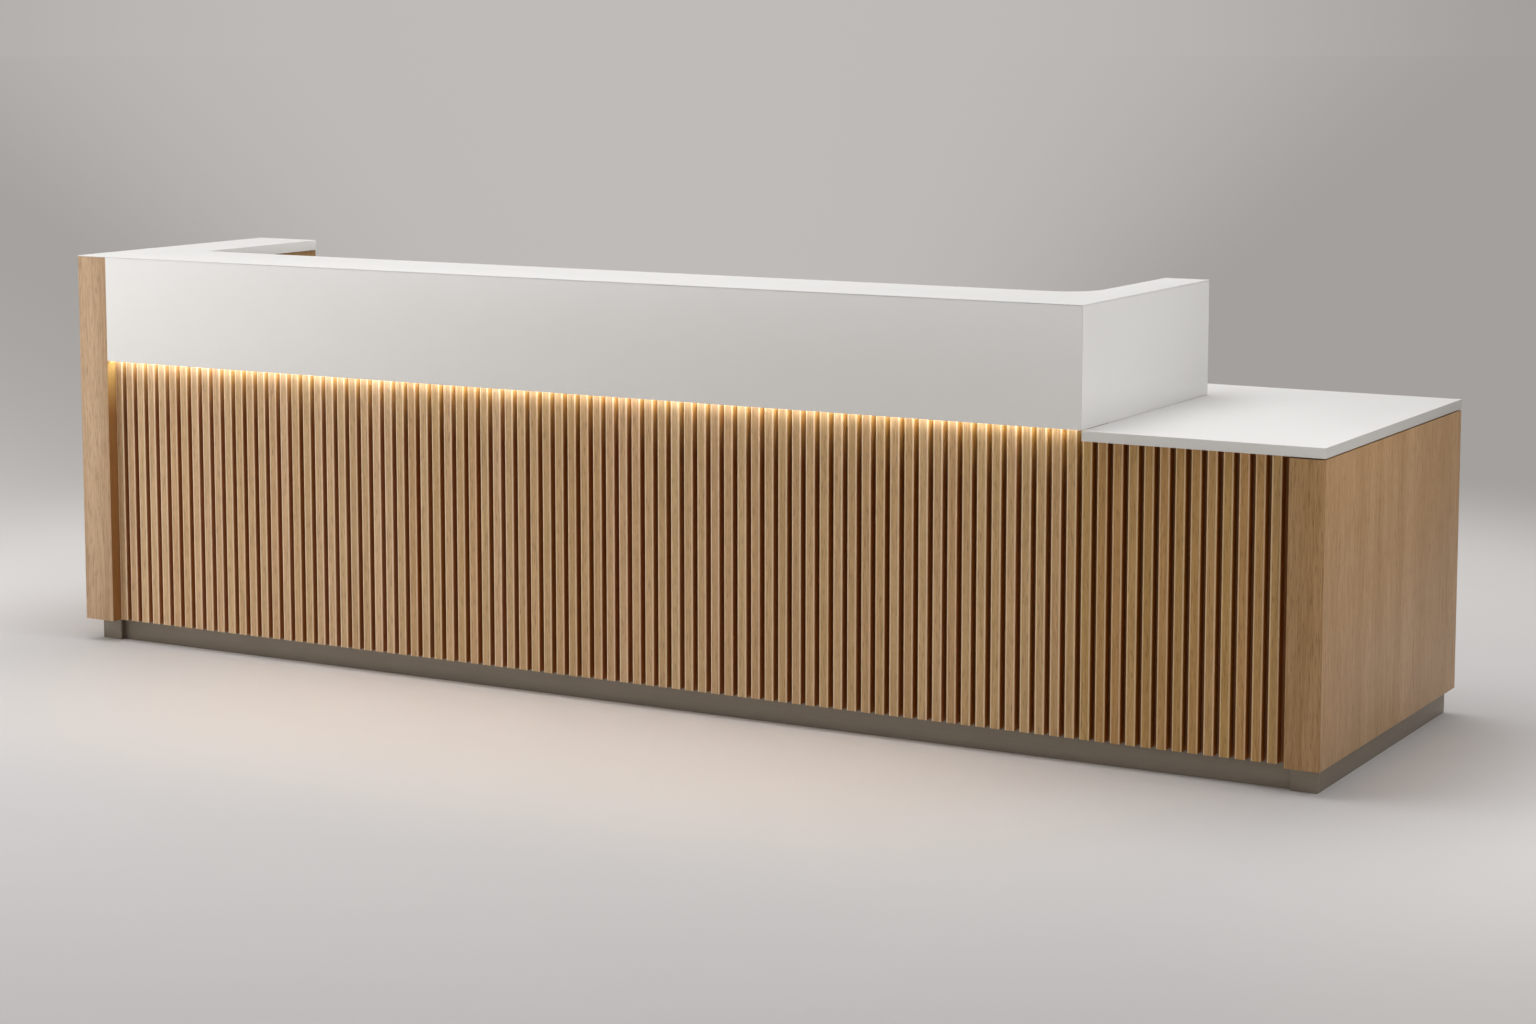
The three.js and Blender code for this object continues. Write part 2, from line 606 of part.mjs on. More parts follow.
const desk = group("reception_desk", [
  plinth(),
  leftEnd(),
  rightEnd(),
  frontWall(),
  slattedFront(),
  lighting(),
  whiteParts(),
  staffDesk(),
  lowCabinet(),
  drawers(),
  cupboard(),
]);
desk.position.set(-LENGTH / 2, -DEPTH / 2, 0);

export default group("part", [desk]);
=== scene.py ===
import json
import math
import random

import bmesh
import bpy
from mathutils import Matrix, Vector

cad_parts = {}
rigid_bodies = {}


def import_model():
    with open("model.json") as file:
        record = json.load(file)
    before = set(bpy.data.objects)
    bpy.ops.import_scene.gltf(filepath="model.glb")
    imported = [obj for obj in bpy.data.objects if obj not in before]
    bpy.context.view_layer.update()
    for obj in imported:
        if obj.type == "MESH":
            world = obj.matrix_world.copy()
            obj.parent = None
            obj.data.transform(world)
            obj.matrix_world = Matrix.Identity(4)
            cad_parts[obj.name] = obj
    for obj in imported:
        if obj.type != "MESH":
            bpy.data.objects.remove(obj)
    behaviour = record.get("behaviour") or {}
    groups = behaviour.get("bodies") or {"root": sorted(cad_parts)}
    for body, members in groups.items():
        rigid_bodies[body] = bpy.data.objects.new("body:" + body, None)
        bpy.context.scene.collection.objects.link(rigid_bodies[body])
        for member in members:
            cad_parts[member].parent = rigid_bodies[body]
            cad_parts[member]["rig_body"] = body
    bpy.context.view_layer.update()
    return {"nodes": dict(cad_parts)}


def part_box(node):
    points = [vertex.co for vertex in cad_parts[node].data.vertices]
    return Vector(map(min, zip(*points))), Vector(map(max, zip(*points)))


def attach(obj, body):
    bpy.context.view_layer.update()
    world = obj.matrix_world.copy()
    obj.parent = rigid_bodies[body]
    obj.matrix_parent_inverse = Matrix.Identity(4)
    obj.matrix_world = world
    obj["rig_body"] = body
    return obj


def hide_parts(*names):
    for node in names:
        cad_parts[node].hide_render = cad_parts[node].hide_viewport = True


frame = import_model()
NODES = frame["nodes"]

bl_info = {
    "name": "Reception desk",
    "version": (1, 0, 0),
    "blender": (4, 5, 0),
    "location": "3D View > Sidebar > Desk",
    "description": "Finishes a slatted oak reception desk with a lit fascia around its packed frame",
    "category": "Object",
}

# Shaping; distances are in metres
SHARP_ANGLE = math.radians(40)  # edges that turn more than this are eased
FLAT_ANGLE = math.radians(2)  # faces that turn less than this are joined
WELD_DISTANCE = 1e-5  # corners this near each other are one
FRONT_DISTANCE = 1e-4  # points this near the front of a panel lie on it
EDGE_DECIMALS = 5  # to which the edges of the slats are told apart
FACE_SHARE = 0.9  # least part of a normal along an axis, for a face that looks along it
CORNER_SHARE = 0.5  # the same, for such a face with its eased corners
EASE_STEPS = 2
SLAT_EDGE_STEPS = 4
BEND_STEPS = 8
BAR_SIDES = 20

# Grain; every board and slat takes its own part of one pattern
PATTERN_REACH = 9  # metres of pattern to choose from
HUE_REACH = 3  # the same for a board's x, which also sets its hue, so that boards differ less than slats
FIRST_SEED = 3  # of the slats' random numbers; each panel has the next one
GRAIN_SWAY = (0.008, 0.008, 0.0)  # metres that the grain strays sideways
LONG_GRAIN = (1, 1, 0.03)  # upright grain is drawn out about 33 times
LONG_PORES = (1, 1, 0.06)  # and its pores about 17 times
BIRCH_GRAIN = (1, 0.06, 1)  # birch grain runs from front to back
BRUSH_LINES = (0.015, 0.015, 1)  # brush lines run level

# Long edges of a slat, with a painted highlight, and its sides, with painted shade
ARRIS_SPAN = (0.68, 0.76)  # shares of half its width, from plain to the painted highlight
ARRIS_MOST = 0.7  # share of the painted highlight's colour
FACE_DEPTH = 0.0012  # metres behind the front, where the colour of the face ends
SIDE_DEPTH = 0.004  # and where the painted shade of the sides is complete

# Tones; a tone of 1 is 16 % lighter than 0, which is the tone of the boards that aren't listed
TONE_STEP = 0.16
TONE_SPAN = (-1.5, 0.3)  # from the richest colour to the palest
RICHNESS = (1.12, 0.88)  # strength of the colour at those tones
SLAT_TONE_STRAY = 0.3  # of single slats, both ways
# Panel tones are painted light and shade: darker towards the right, and darkest on the low panel, which the
# light under the fascia doesn't reach
SLAT_SHADE_TONES = {"slat_panel_1": 0.1, "slat_panel_2": -0.1, "slat_panel_3": -0.3, "slat_panel_low": -1.3}
# These tones are painted light and shade: the left post and end lighter, the left inner panel and the right
# post and end darker, as the light falls on them
BOARD_SHADE_TONES = {
    "left_front_post": 0.3,
    "left_end_panel": 0.3,
    "left_inner_panel": -1.5,
    "right_front_post": -1.35,
    "right_end_panel": -0.9,
}

# Painted glow in the gaps between the slats that the light reaches, in metres
LIT_HEIGHTS = (0.66, 0.79)  # from unlit to lit
LIT_MOST = 0.75  # share of the painted glow's colour right under the light
LIGHT_END = (1.26, 1.20)  # from unlit to lit, along the desk

# Floor, in metres from the middle; each pair gives where a change starts and where it is complete
FLOOR_RADIUS = 150
FLOOR_SIDES = 96
# Painted light: the floor is paler beyond the desk's ends and behind it
PALE_ASIDE = (1.8, 3.2)
PALE_BEHIND = (0.8, 2.2)
POOL_ALONG = (1.9, 0.6)
POOL_AHEAD = 0.75  # middle line of the painted glow in front of the desk
POOL_ACROSS = (1.15, 0.1)  # from that line
FADE_REACH = (2.9, 4.7)

# Backdrop: directions from the desk, and the cosines of the angles to them over which the grey changes
PALE_WAY = (-0.531, 0.847, 0.0)
PALE_SPREAD = (0.955, 1.0)
REAR_WAY = (-0.199, 0.980, 0.0)
REAR_SPREAD = (0.3, 0.85)

# Soft lamps, in metres and watts
LAMPS = {
    "overhead": {
        "place": (-0.7, 0.3, 5.5), "target": (-0.5, 0.2, 0), "width": 7.0, "height": 4.0, "power": 278},
    "left": {
        "place": (-4.2, -2.4, 1.0), "target": (-1.2, -0.5, 0.7), "width": 3.0, "height": 1.9, "power": 64},
    "right": {
        "place": (2.9, -0.6, 1.5), "target": (1.24, -0.2, 0.95), "width": 1.5, "height": 1.2, "power": 13},
}
WORLD_STRENGTH = 0.31

# Camera, in metres and radians
CAMERA_PLACE = (4.0846, -7.0178, 1.7548)
CAMERA_DOWN = 0.110
CAMERA_LEFT = 0.5154
CAMERA_SHIFT = -0.10
CAMERA_REACH = 300
SENSOR_WIDTH = 36  # millimetres

# Light points under the fascia, in millimetres
WAVE_LENGTH = 314  # of a wave pattern whose scale is 1
POINT_SPACING = 33


def linear(code):
    """An sRGB hex colour as linear red, green, blue and alpha."""
    parts = [int(code[i:i + 2], 16) / 255 for i in (0, 2, 4)]
    return tuple(c / 12.92 if c <= 0.04045 else ((c + 0.055) / 1.055) ** 2.4 for c in parts) + (1.0,)


def colour(name, code, description):
    """A colour that can be set in the panel."""
    return bpy.props.FloatVectorProperty(
        name=name, description=description, default=linear(code), subtype="COLOR", size=4, min=0, max=1)


def length(name, metres, description):
    """A length that can be set in the panel."""
    return bpy.props.FloatProperty(
        name=name, description=description, default=metres, unit="LENGTH", min=0, precision=4)


class DeskSizes(bpy.types.PropertyGroup):
    """Sizes of the edges and slats"""
    board_edge: length("Board edge", 0.0008, "Radius eased on the edges of the veneered boards")
    white_edge: length("White edge", 0.0008, "Radius eased on the edges of the white counters")
    worktop_edge: length("Worktop edge", 0.002, "Radius eased on the edges of the staff worktop")
    box_edge: length("Drawer box edge", 0.0005, "Radius eased on the edges of the drawer boxes")
    metal_edge: length("Metal edge", 0.0006, "Fold radius on the plinth")
    handle_bend: length("Handle bend", 0.014, "Bend radius at the corners of a bow handle")
    slat_edge: length("Slat edge", 0.002, "Radius on the long edges of a slat")
    slat_depth: length("Slat depth", 0.026, "Depth of a slat in front of its sheet")


class DeskFinishes(bpy.types.PropertyGroup):
    """Colours of the finishes"""
    oak_pale: colour("Oak, pale grain", "BE9C74", "Early wood of the oak veneer")
    oak_deep: colour("Oak, deep grain", "A68459", "Late wood of the oak veneer")
    oak_pore: colour("Oak, pores", "7C5A39", "Open pores along the grain")
    slat_pale: colour("Slats, pale grain", "C9A270", "Early wood of the slats")
    slat_deep: colour("Slats, deep grain", "B48D5C", "Late wood of the slats")
    # Painted highlight along the long edges of the slats
    slat_arris_highlight: colour("Slats, arris", "F0D3AE", "Painted highlight on the edges of the slats")
    # Painted shade on the slats' sides inside the gaps
    slat_side_shade: colour("Slats, sides", "DAA445", "Painted shade on a slat's sides, over the wood")
    # Brown sheet behind the slats, darkened as painted shade of the gaps
    gap_sheet: colour("Slat sheet", "9A6733", "Brown sheet behind the slats, darkened as painted shade")
    # Painted glow on the sides and sheet between the slats, close under the light
    gap_lit: colour("Lit gaps", "D6B066", "Sides and sheet between the slats, right under the light")
    white_shell: colour("White counter", "EAE9E7", "Acrylic solid surface of the counters and fascia")
    # Painted shade: the low counter's front and rear edges are greyer than its top
    shaded_white_edge: colour("White edge", "D5D3CF", "Painted shade on the front and rear edges of the low counter")
    # Painted shade: the low counter's end edges are darker than its top
    shaded_white_end: colour("White end", "B8B6B2", "Painted shade on the end edges of the low counter")
    white_board: colour("White laminate", "DEDCD8", "Laminate of the staff worktop")
    plinth: colour("Plinth", "8A8175", "Brushed plinth metal")
    carcass: colour("Carcass board", "6B543C", "Brown board inside the front wall")
    birch_pale: colour("Birch, pale grain", "D8C29C", "Early wood of the drawer boxes")
    birch_deep: colour("Birch, deep grain", "BD9F72", "Late wood of the drawer boxes")
    aluminium: colour("Aluminium", "C4C6C8", "Anodised channel of the light")
    zinc: colour("Zinc", "A2A6AA", "Plated runners and pivots")
    steel: colour("Steel", "A9A6A2", "Satin bow handles")
    plastic: colour("Black plastic", "232324", "Driver and lead of the light")
    plastic_grit: colour("Black plastic, grit", "323233", "High spots of the plastic's grain")
    opal: colour("Opal cover", "FFF1D6", "Diffuser of the light")
    glow: colour("Light", "EEF8FF", "Light under the fascia, which the oak makes warmer")


class DeskStudio(bpy.types.PropertyGroup):
    """Floor, surroundings and lens"""
    floor: colour("Floor", "D4D2D2", "Floor close to the desk")
    # Painted light: paler floor beyond the desk's ends and behind it
    pale: colour("Pale floor", "E0DDDB", "Floor beyond the desk's ends")
    # Painted pool of light on the floor before the slats
    pool: colour(
        "Glow on the floor", "E3DAD3", "Floor in front of the slats, in the light from under the fascia")
    bounce: colour("Floor bounce", "F2EFEC", "Floor as it sends light back up to the desk")
    far: colour("Backdrop", "BFBBB8", "Floor and backdrop behind the desk, as the camera sees them")
    dim: colour("Dim backdrop", "A4A09D", "Floor and backdrop beside that")
    around: colour("Surroundings", "CDC9C6", "Floor and backdrop elsewhere")
    even: colour("Even light", "F2F0EE", "Light from all round")
    lens: bpy.props.FloatProperty(
        name="Lens", description="Focal length in millimetres", default=71.55, unit="CAMERA")
    glow: bpy.props.FloatProperty(
        name="Glow", description="Strength of the light under the fascia", default=12.6)


def add(tree, kind, inputs=None, **settings):
    """Adds a node with its settings and inputs. An input goes by its name, or by its number where names
    repeat. It takes a value, or a link from a socket or from the first output in use of a node."""
    node = tree.nodes.new(kind)
    for name, value in settings.items():
        setattr(node, name, value)
    for key, value in (inputs or {}).items():
        named = [socket for socket in node.inputs if socket.enabled and socket.name == key]
        target = named[0] if named else node.inputs[key]
        if isinstance(value, bpy.types.Node):
            value = next(socket for socket in value.outputs if socket.enabled)
        if isinstance(value, bpy.types.NodeSocket):
            tree.links.new(value, target)
        else:
            target.default_value = value
    return node


def per(millimetres):
    """The scale of a pattern whose marks are so many millimetres wide."""
    return 1000 / millimetres


def dulled(shade, share):
    """A colour with only a share of its brightness."""
    return [c * share for c in shade[:3]] + [1.0]


def finished(name, surface, **values):
    """A material by its name. The first time, its surface function makes the inputs of its shader."""
    if name in bpy.data.materials:
        return bpy.data.materials[name]
    material = bpy.data.materials.new(name)
    material.use_nodes = True
    tree = material.node_tree
    tree.nodes.clear()
    shader = add(tree, "ShaderNodeBsdfPrincipled", surface(tree, **values))
    add(tree, "ShaderNodeOutputMaterial", {"Surface": shader})
    return material


def under_light(tree, place):
    """How much painted glow a place between the slats takes from its nearness to the light, which ends where
    the low counter starts.
    """
    spot = add(tree, "ShaderNodeSeparateXYZ", {"Vector": place}).outputs
    near = add(tree, "ShaderNodeMapRange", {
        "Value": spot["Z"], "From Min": LIT_HEIGHTS[0], "From Max": LIT_HEIGHTS[1], "To Max": LIT_MOST})
    along = add(tree, "ShaderNodeMapRange", {
        "Value": spot["X"], "From Min": LIGHT_END[0], "From Max": LIGHT_END[1]})
    return add(tree, "ShaderNodeMath", {0: near, 1: along}, operation="MULTIPLY")


def oak(tree, pale, deep):
    """Rift-cut oak under matt lacquer: fine straight upright grain and short dark pores over slow changes of
    tone. Every board and slat has its own part of the pattern and hue, and a tone, which strays at random
    between single slats and is painted light and shade for the listed boards and panels."""
    looks = bpy.context.scene.desk_finishes
    place = add(tree, "ShaderNodeTexCoord").outputs["Object"]
    board = add(tree, "ShaderNodeAttribute", attribute_name="board").outputs["Vector"]
    tone = add(tree, "ShaderNodeAttribute", attribute_name="tone").outputs["Fac"]
    shifted = add(tree, "ShaderNodeVectorMath", {0: place, 1: board}, operation="ADD")
    sway = add(tree, "ShaderNodeTexNoise", {"Vector": shifted, "Scale": per(500), "Detail": 1.0})
    bent = add(tree, "ShaderNodeVectorMath", {0: sway.outputs["Color"], 1: GRAIN_SWAY, 2: shifted},
               operation="MULTIPLY_ADD")
    upright = add(tree, "ShaderNodeVectorMath", {0: bent, 1: LONG_GRAIN}, operation="MULTIPLY")
    slow = add(tree, "ShaderNodeTexNoise", {"Vector": upright, "Scale": per(60), "Detail": 1.0})
    # Growth rings are 1.5 mm apart; they are drawn 4 mm apart, or they would not show
    fine = add(tree, "ShaderNodeTexNoise", {
        "Vector": upright, "Scale": per(4), "Detail": 2.0, "Roughness": 0.6})
    # Pores are 0.3 mm wide; they are drawn 2 mm wide and about 30 mm long, for the same reason
    dashes = add(tree, "ShaderNodeVectorMath", {0: bent, 1: LONG_PORES}, operation="MULTIPLY")
    pores = add(tree, "ShaderNodeTexNoise", {"Vector": dashes, "Scale": per(2), "Detail": 1.0})
    both = add(tree, "ShaderNodeMix", {"Factor": 0.65, "A": slow, "B": fine}, data_type="FLOAT")
    streaks = add(tree, "ShaderNodeMapRange", {"Value": both, "From Min": 0.37, "From Max": 0.63})
    grain = add(tree, "ShaderNodeMix", {"Factor": streaks, "A": pale, "B": deep}, data_type="RGBA")
    open_pores = add(tree, "ShaderNodeMapRange", {
        "Value": pores, "From Min": 0.55, "From Max": 0.70, "To Max": 0.55})
    veneer = add(tree, "ShaderNodeMix", {
        "Factor": open_pores, "A": grain, "B": looks.oak_pore}, data_type="RGBA")
    wood = slat_edges(tree, place, veneer)
    level = add(tree, "ShaderNodeMath", {0: tone, 1: TONE_STEP, 2: 1.0}, operation="MULTIPLY_ADD")
    lean = add(tree, "ShaderNodeSeparateXYZ", {"Vector": board}).outputs["X"]
    hue = add(tree, "ShaderNodeMapRange", {
        "Value": lean, "From Max": PATTERN_REACH, "To Min": 0.496, "To Max": 0.504})
    # Dark boards are richer in colour than pale ones, as wood in shade looks; with the listed tones this is
    # painted shade
    richness = add(tree, "ShaderNodeMapRange", {
        "Value": tone, "From Min": TONE_SPAN[0], "From Max": TONE_SPAN[1],
        "To Min": RICHNESS[0], "To Max": RICHNESS[1]})
    toned = add(tree, "ShaderNodeHueSaturation", {
        "Hue": hue, "Saturation": richness, "Value": level, "Color": wood})
    gloss = add(tree, "ShaderNodeMapRange", {"Value": fine, "To Min": 0.42, "To Max": 0.58})
    relief = add(tree, "ShaderNodeBump", {"Strength": 0.3, "Distance": 0.0004, "Height": pores}, invert=True)
    return {"Base Color": toned, "Roughness": gloss, "Normal": relief, "IOR": 1.45}


def slat_edges(tree, place, veneer):
    """The wood with a painted highlight along a slat's long edges and painted shade on its sides. A painted
    glow lights the sides where the light reaches them. A plain board has no such edges or sides."""
    looks = bpy.context.scene.desk_finishes
    depth = add(tree, "ShaderNodeAttribute", attribute_name="depth").outputs["Fac"]
    across = add(tree, "ShaderNodeAttribute", attribute_name="across").outputs["Fac"]
    aside = add(tree, "ShaderNodeMath", {0: across}, operation="ABSOLUTE")
    # Painted highlight along a slat's long edges, on its face only
    arris = add(tree, "ShaderNodeMapRange", {
        "Value": aside, "From Min": ARRIS_SPAN[0], "From Max": ARRIS_SPAN[1], "To Max": ARRIS_MOST})
    outward = add(tree, "ShaderNodeMapRange", {
        "Value": depth, "From Min": SIDE_DEPTH, "From Max": FACE_DEPTH})
    highlight_share = add(tree, "ShaderNodeMath", {0: arris, 1: outward}, operation="MULTIPLY")
    highlighted = add(tree, "ShaderNodeMix", {
        "Factor": highlight_share, "A": veneer, "B": looks.slat_arris_highlight}, data_type="RGBA")
    # Painted shade on the slat's sides, deeper than its face
    inward = add(tree, "ShaderNodeMapRange", {
        "Value": depth, "From Min": FACE_DEPTH, "From Max": SIDE_DEPTH})
    shaded_sides = add(tree, "ShaderNodeMix", {
        "Factor": inward, "A": highlighted, "B": looks.slat_side_shade}, data_type="RGBA", blend_type="MULTIPLY")
    # Painted glow on the sides close under the light
    reached = add(tree, "ShaderNodeMath", {0: inward, 1: under_light(tree, place)}, operation="MULTIPLY")
    return add(tree, "ShaderNodeMix", {
        "Factor": reached, "A": shaded_sides, "B": looks.gap_lit}, data_type="RGBA")


def shaded_brown_veneer(tree):
    """Brown veneer, darkened as painted shade: a dim brown band down each gap between the slats, with faint
    grain.
    """
    looks = bpy.context.scene.desk_finishes
    place = add(tree, "ShaderNodeTexCoord").outputs["Object"]
    upright = add(tree, "ShaderNodeVectorMath", {0: place, 1: LONG_GRAIN}, operation="MULTIPLY")
    # Growth rings are drawn 5 mm apart, coarser than they are, as on the slats
    streaks = add(tree, "ShaderNodeTexNoise", {"Vector": upright, "Scale": per(5), "Detail": 2.0})
    grain = add(tree, "ShaderNodeMix", {
        "Factor": streaks, "A": looks.gap_sheet, "B": dulled(looks.gap_sheet, 0.7)}, data_type="RGBA")
    # Painted glow on the sheet close under the light
    lit = add(tree, "ShaderNodeMix", {
        "Factor": under_light(tree, place), "A": grain, "B": looks.gap_lit}, data_type="RGBA")
    gloss = add(tree, "ShaderNodeMapRange", {"Value": streaks, "To Min": 0.5, "To Max": 0.65})
    return {"Base Color": lit, "Roughness": gloss}


def solid_surface(tree, white):
    """Sanded acrylic solid surface: an even, slightly warm white with a satin sheen and very faint clouds."""
    place = add(tree, "ShaderNodeTexCoord").outputs["Object"]
    cloud = add(tree, "ShaderNodeTexNoise", {"Vector": place, "Scale": per(160), "Detail": 3.0})
    # Sanding marks are 0.1 mm wide; they are drawn 2.5 mm wide, or they would not show
    speck = add(tree, "ShaderNodeTexNoise", {"Vector": place, "Scale": per(2.5), "Detail": 2.0})
    both = add(tree, "ShaderNodeMix", {"Factor": 0.4, "A": cloud, "B": speck}, data_type="FLOAT")
    clouded = add(tree, "ShaderNodeMix", {
        "Factor": both, "A": white, "B": dulled(white, 0.965)}, data_type="RGBA")
    gloss = add(tree, "ShaderNodeMapRange", {"Value": cloud, "To Min": 0.34, "To Max": 0.44})
    sanding = add(tree, "ShaderNodeBump", {"Strength": 0.05, "Distance": 0.0002, "Height": speck})
    return {"Base Color": clouded, "Roughness": gloss, "Normal": sanding}


def laminate(tree):
    """White melamine laminate: a matt white with a fine pearl texture that breaks up reflections."""
    looks = bpy.context.scene.desk_finishes
    place = add(tree, "ShaderNodeTexCoord").outputs["Object"]
    # Pearls are 1 mm wide; they are drawn 3 mm wide, or they would not show
    pearl = add(tree, "ShaderNodeTexNoise", {"Vector": place, "Scale": per(3), "Detail": 2.0})
    cloud = add(tree, "ShaderNodeTexNoise", {"Vector": place, "Scale": per(110), "Detail": 2.0})
    white = add(tree, "ShaderNodeMix", {
        "Factor": cloud, "A": looks.white_board, "B": dulled(looks.white_board, 0.95)}, data_type="RGBA")
    gloss = add(tree, "ShaderNodeMapRange", {"Value": pearl, "To Min": 0.42, "To Max": 0.6})
    relief = add(tree, "ShaderNodeBump", {"Strength": 0.15, "Distance": 0.0002, "Height": pearl})
    return {"Base Color": white, "Roughness": gloss, "Normal": relief}


def brushed_metal(tree):
    """Brushed grey-brown metal: fine lines along the plinth stretch the reflection of the floor upwards."""
    looks = bpy.context.scene.desk_finishes
    place = add(tree, "ShaderNodeTexCoord").outputs["Object"]
    # Brush lines are 0.1 mm apart; they are drawn about 2 mm apart and 150 mm long
    along = add(tree, "ShaderNodeVectorMath", {0: place, 1: BRUSH_LINES}, operation="MULTIPLY")
    lines = add(tree, "ShaderNodeTexNoise", {"Vector": along, "Scale": per(2), "Detail": 3.0})
    cloud = add(tree, "ShaderNodeTexNoise", {"Vector": place, "Scale": per(200), "Detail": 2.0})
    both = add(tree, "ShaderNodeMix", {"Factor": 0.5, "A": lines, "B": cloud}, data_type="FLOAT")
    metal = add(tree, "ShaderNodeMix", {
        "Factor": both, "A": looks.plinth, "B": dulled(looks.plinth, 0.8)}, data_type="RGBA")
    gloss = add(tree, "ShaderNodeMapRange", {"Value": lines, "To Min": 0.46, "To Max": 0.62})
    relief = add(tree, "ShaderNodeBump", {"Strength": 0.12, "Distance": 0.0002, "Height": lines})
    return {"Base Color": metal, "Roughness": gloss, "Normal": relief, "Metallic": 0.7}


def chipboard(tree):
    """Brown-faced chipboard: flat brown with a faint mottle of the chips below the face."""
    looks = bpy.context.scene.desk_finishes
    place = add(tree, "ShaderNodeTexCoord").outputs["Object"]
    chips = add(tree, "ShaderNodeTexVoronoi", {"Vector": place, "Scale": per(4)})
    face = add(tree, "ShaderNodeMix", {
        "Factor": chips, "A": looks.carcass, "B": dulled(looks.carcass, 0.75)}, data_type="RGBA")
    return {"Base Color": face, "Roughness": 0.7}


def lit_opal(tree):
    """Opal polycarbonate lit from behind: an even strip of light, a little stronger over each light point."""
    looks = bpy.context.scene.desk_finishes
    glow = bpy.context.scene.desk_studio.glow
    place = add(tree, "ShaderNodeTexCoord").outputs["Object"]
    points = add(tree, "ShaderNodeTexWave", {
        "Vector": place, "Scale": WAVE_LENGTH / POINT_SPACING}, bands_direction="X")
    strength = add(tree, "ShaderNodeMapRange", {
        "Value": points.outputs["Fac"], "To Min": glow * 0.96, "To Max": glow * 1.04})
    return {
        "Base Color": looks.opal, "Roughness": 0.5,
        "Emission Color": looks.glow, "Emission Strength": strength}


def satin_metal(tree, bright, rough):
    """Steel or aluminium with a fine satin finish: grey, with soft broken reflections."""
    place = add(tree, "ShaderNodeTexCoord").outputs["Object"]
    # The grain of the finish is 0.1 mm wide; it is drawn 1.6 mm wide, or it would not show
    satin = add(tree, "ShaderNodeTexNoise", {"Vector": place, "Scale": per(1.6), "Detail": 2.0})
    metal = add(tree, "ShaderNodeMix", {
        "Factor": satin, "A": bright, "B": dulled(bright, 0.82)}, data_type="RGBA")
    gloss = add(tree, "ShaderNodeMapRange", {"Value": satin, "To Min": rough - 0.06, "To Max": rough + 0.1})
    return {"Base Color": metal, "Roughness": gloss, "Metallic": 1.0}


def moulded_plastic(tree):
    """Moulded black plastic: near-black with a fine spark-eroded grain."""
    looks = bpy.context.scene.desk_finishes
    place = add(tree, "ShaderNodeTexCoord").outputs["Object"]
    # The grain is 0.2 mm wide; it is drawn 1.1 mm wide, or it would not show
    grit = add(tree, "ShaderNodeTexNoise", {"Vector": place, "Scale": per(1.1), "Detail": 2.0})
    black = add(tree, "ShaderNodeMix", {
        "Factor": grit, "A": looks.plastic, "B": looks.plastic_grit}, data_type="RGBA")
    relief = add(tree, "ShaderNodeBump", {"Strength": 0.3, "Distance": 0.0002, "Height": grit})
    return {"Base Color": black, "Roughness": 0.5, "Normal": relief}


def plywood(tree):
    """Lacquered birch plywood: pale cream with long faint grain."""
    looks = bpy.context.scene.desk_finishes
    place = add(tree, "ShaderNodeTexCoord").outputs["Object"]
    along = add(tree, "ShaderNodeVectorMath", {0: place, 1: BIRCH_GRAIN}, operation="MULTIPLY")
    streaks = add(tree, "ShaderNodeTexNoise", {"Vector": along, "Scale": per(8), "Detail": 3.0})
    birch = add(tree, "ShaderNodeMix", {
        "Factor": streaks, "A": looks.birch_pale, "B": looks.birch_deep}, data_type="RGBA")
    return {"Base Color": birch, "Roughness": 0.55}


def oak_veneer():
    """The material of the oak boards."""
    looks = bpy.context.scene.desk_finishes
    return finished("rift_cut_oak_veneer", oak, pale=looks.oak_pale, deep=looks.oak_deep)


def oak_slats():
    """The material of the slats."""
    looks = bpy.context.scene.desk_finishes
    return finished("solid_oak_slats", oak, pale=looks.slat_pale, deep=looks.slat_deep)


def shaded_brown_sheet():
    """The material of the sheet behind the slats, darkened as painted shade, and of the posts' faces beside
    them, where it is painted shade over the oak.
    """
    return finished("shaded_brown_oak_sheet", shaded_brown_veneer)


def white_laminate():
    """The material of the staff worktop and of the strip that carries the light points."""
    return finished("pearl_white_laminate", laminate)


def plain_mesh(name, source):
    """An object's evaluated mesh as a plain mesh under a name of its own."""
    graph = bpy.context.evaluated_depsgraph_get()
    mesh = bpy.data.meshes.new_from_object(source.evaluated_get(graph), depsgraph=graph)
    mesh.name = name
    return mesh


def rounded(name, shape, radius):
    """A new object from a bmesh, with its sharp edges eased to a radius and its flat faces kept flat."""
    mesh = bpy.data.meshes.new(name)
    shape.to_mesh(mesh)
    shape.free()
    piece = bpy.data.objects.new(name, mesh)
    bpy.context.scene.collection.objects.link(piece)
    for face in mesh.polygons:
        face.use_smooth = True
    ease = piece.modifiers.new("Ease", "BEVEL")
    ease.width, ease.segments, ease.harden_normals = radius, EASE_STEPS, True
    ease.limit_method, ease.angle_limit = "ANGLE", SHARP_ANGLE
    piece.data = plain_mesh(name, piece)
    piece.modifiers.clear()
    bpy.data.meshes.remove(mesh)
    return piece


def grown(piece, tree, values):
    """Lets a node tree with named inputs make a piece's mesh, and keeps the mesh only."""
    maker = piece.modifiers.new(tree.name, "NODES")
    maker.node_group = tree
    for item in tree.interface.items_tree:
        if item.in_out == "INPUT" and item.name in values:
            maker[item.identifier] = values[item.name]
    piece.data = plain_mesh(piece.name, piece)
    piece.modifiers.clear()
    return piece


def copy_of(node):
    """A node's shape as a bmesh, with its loose triangles joined into flat faces."""
    shape = bmesh.new()
    shape.from_mesh(NODES[node].data)
    bmesh.ops.remove_doubles(shape, verts=shape.verts, dist=WELD_DISTANCE)
    bmesh.ops.dissolve_limit(shape, angle_limit=FLAT_ANGLE, verts=shape.verts, edges=shape.edges)
    return shape


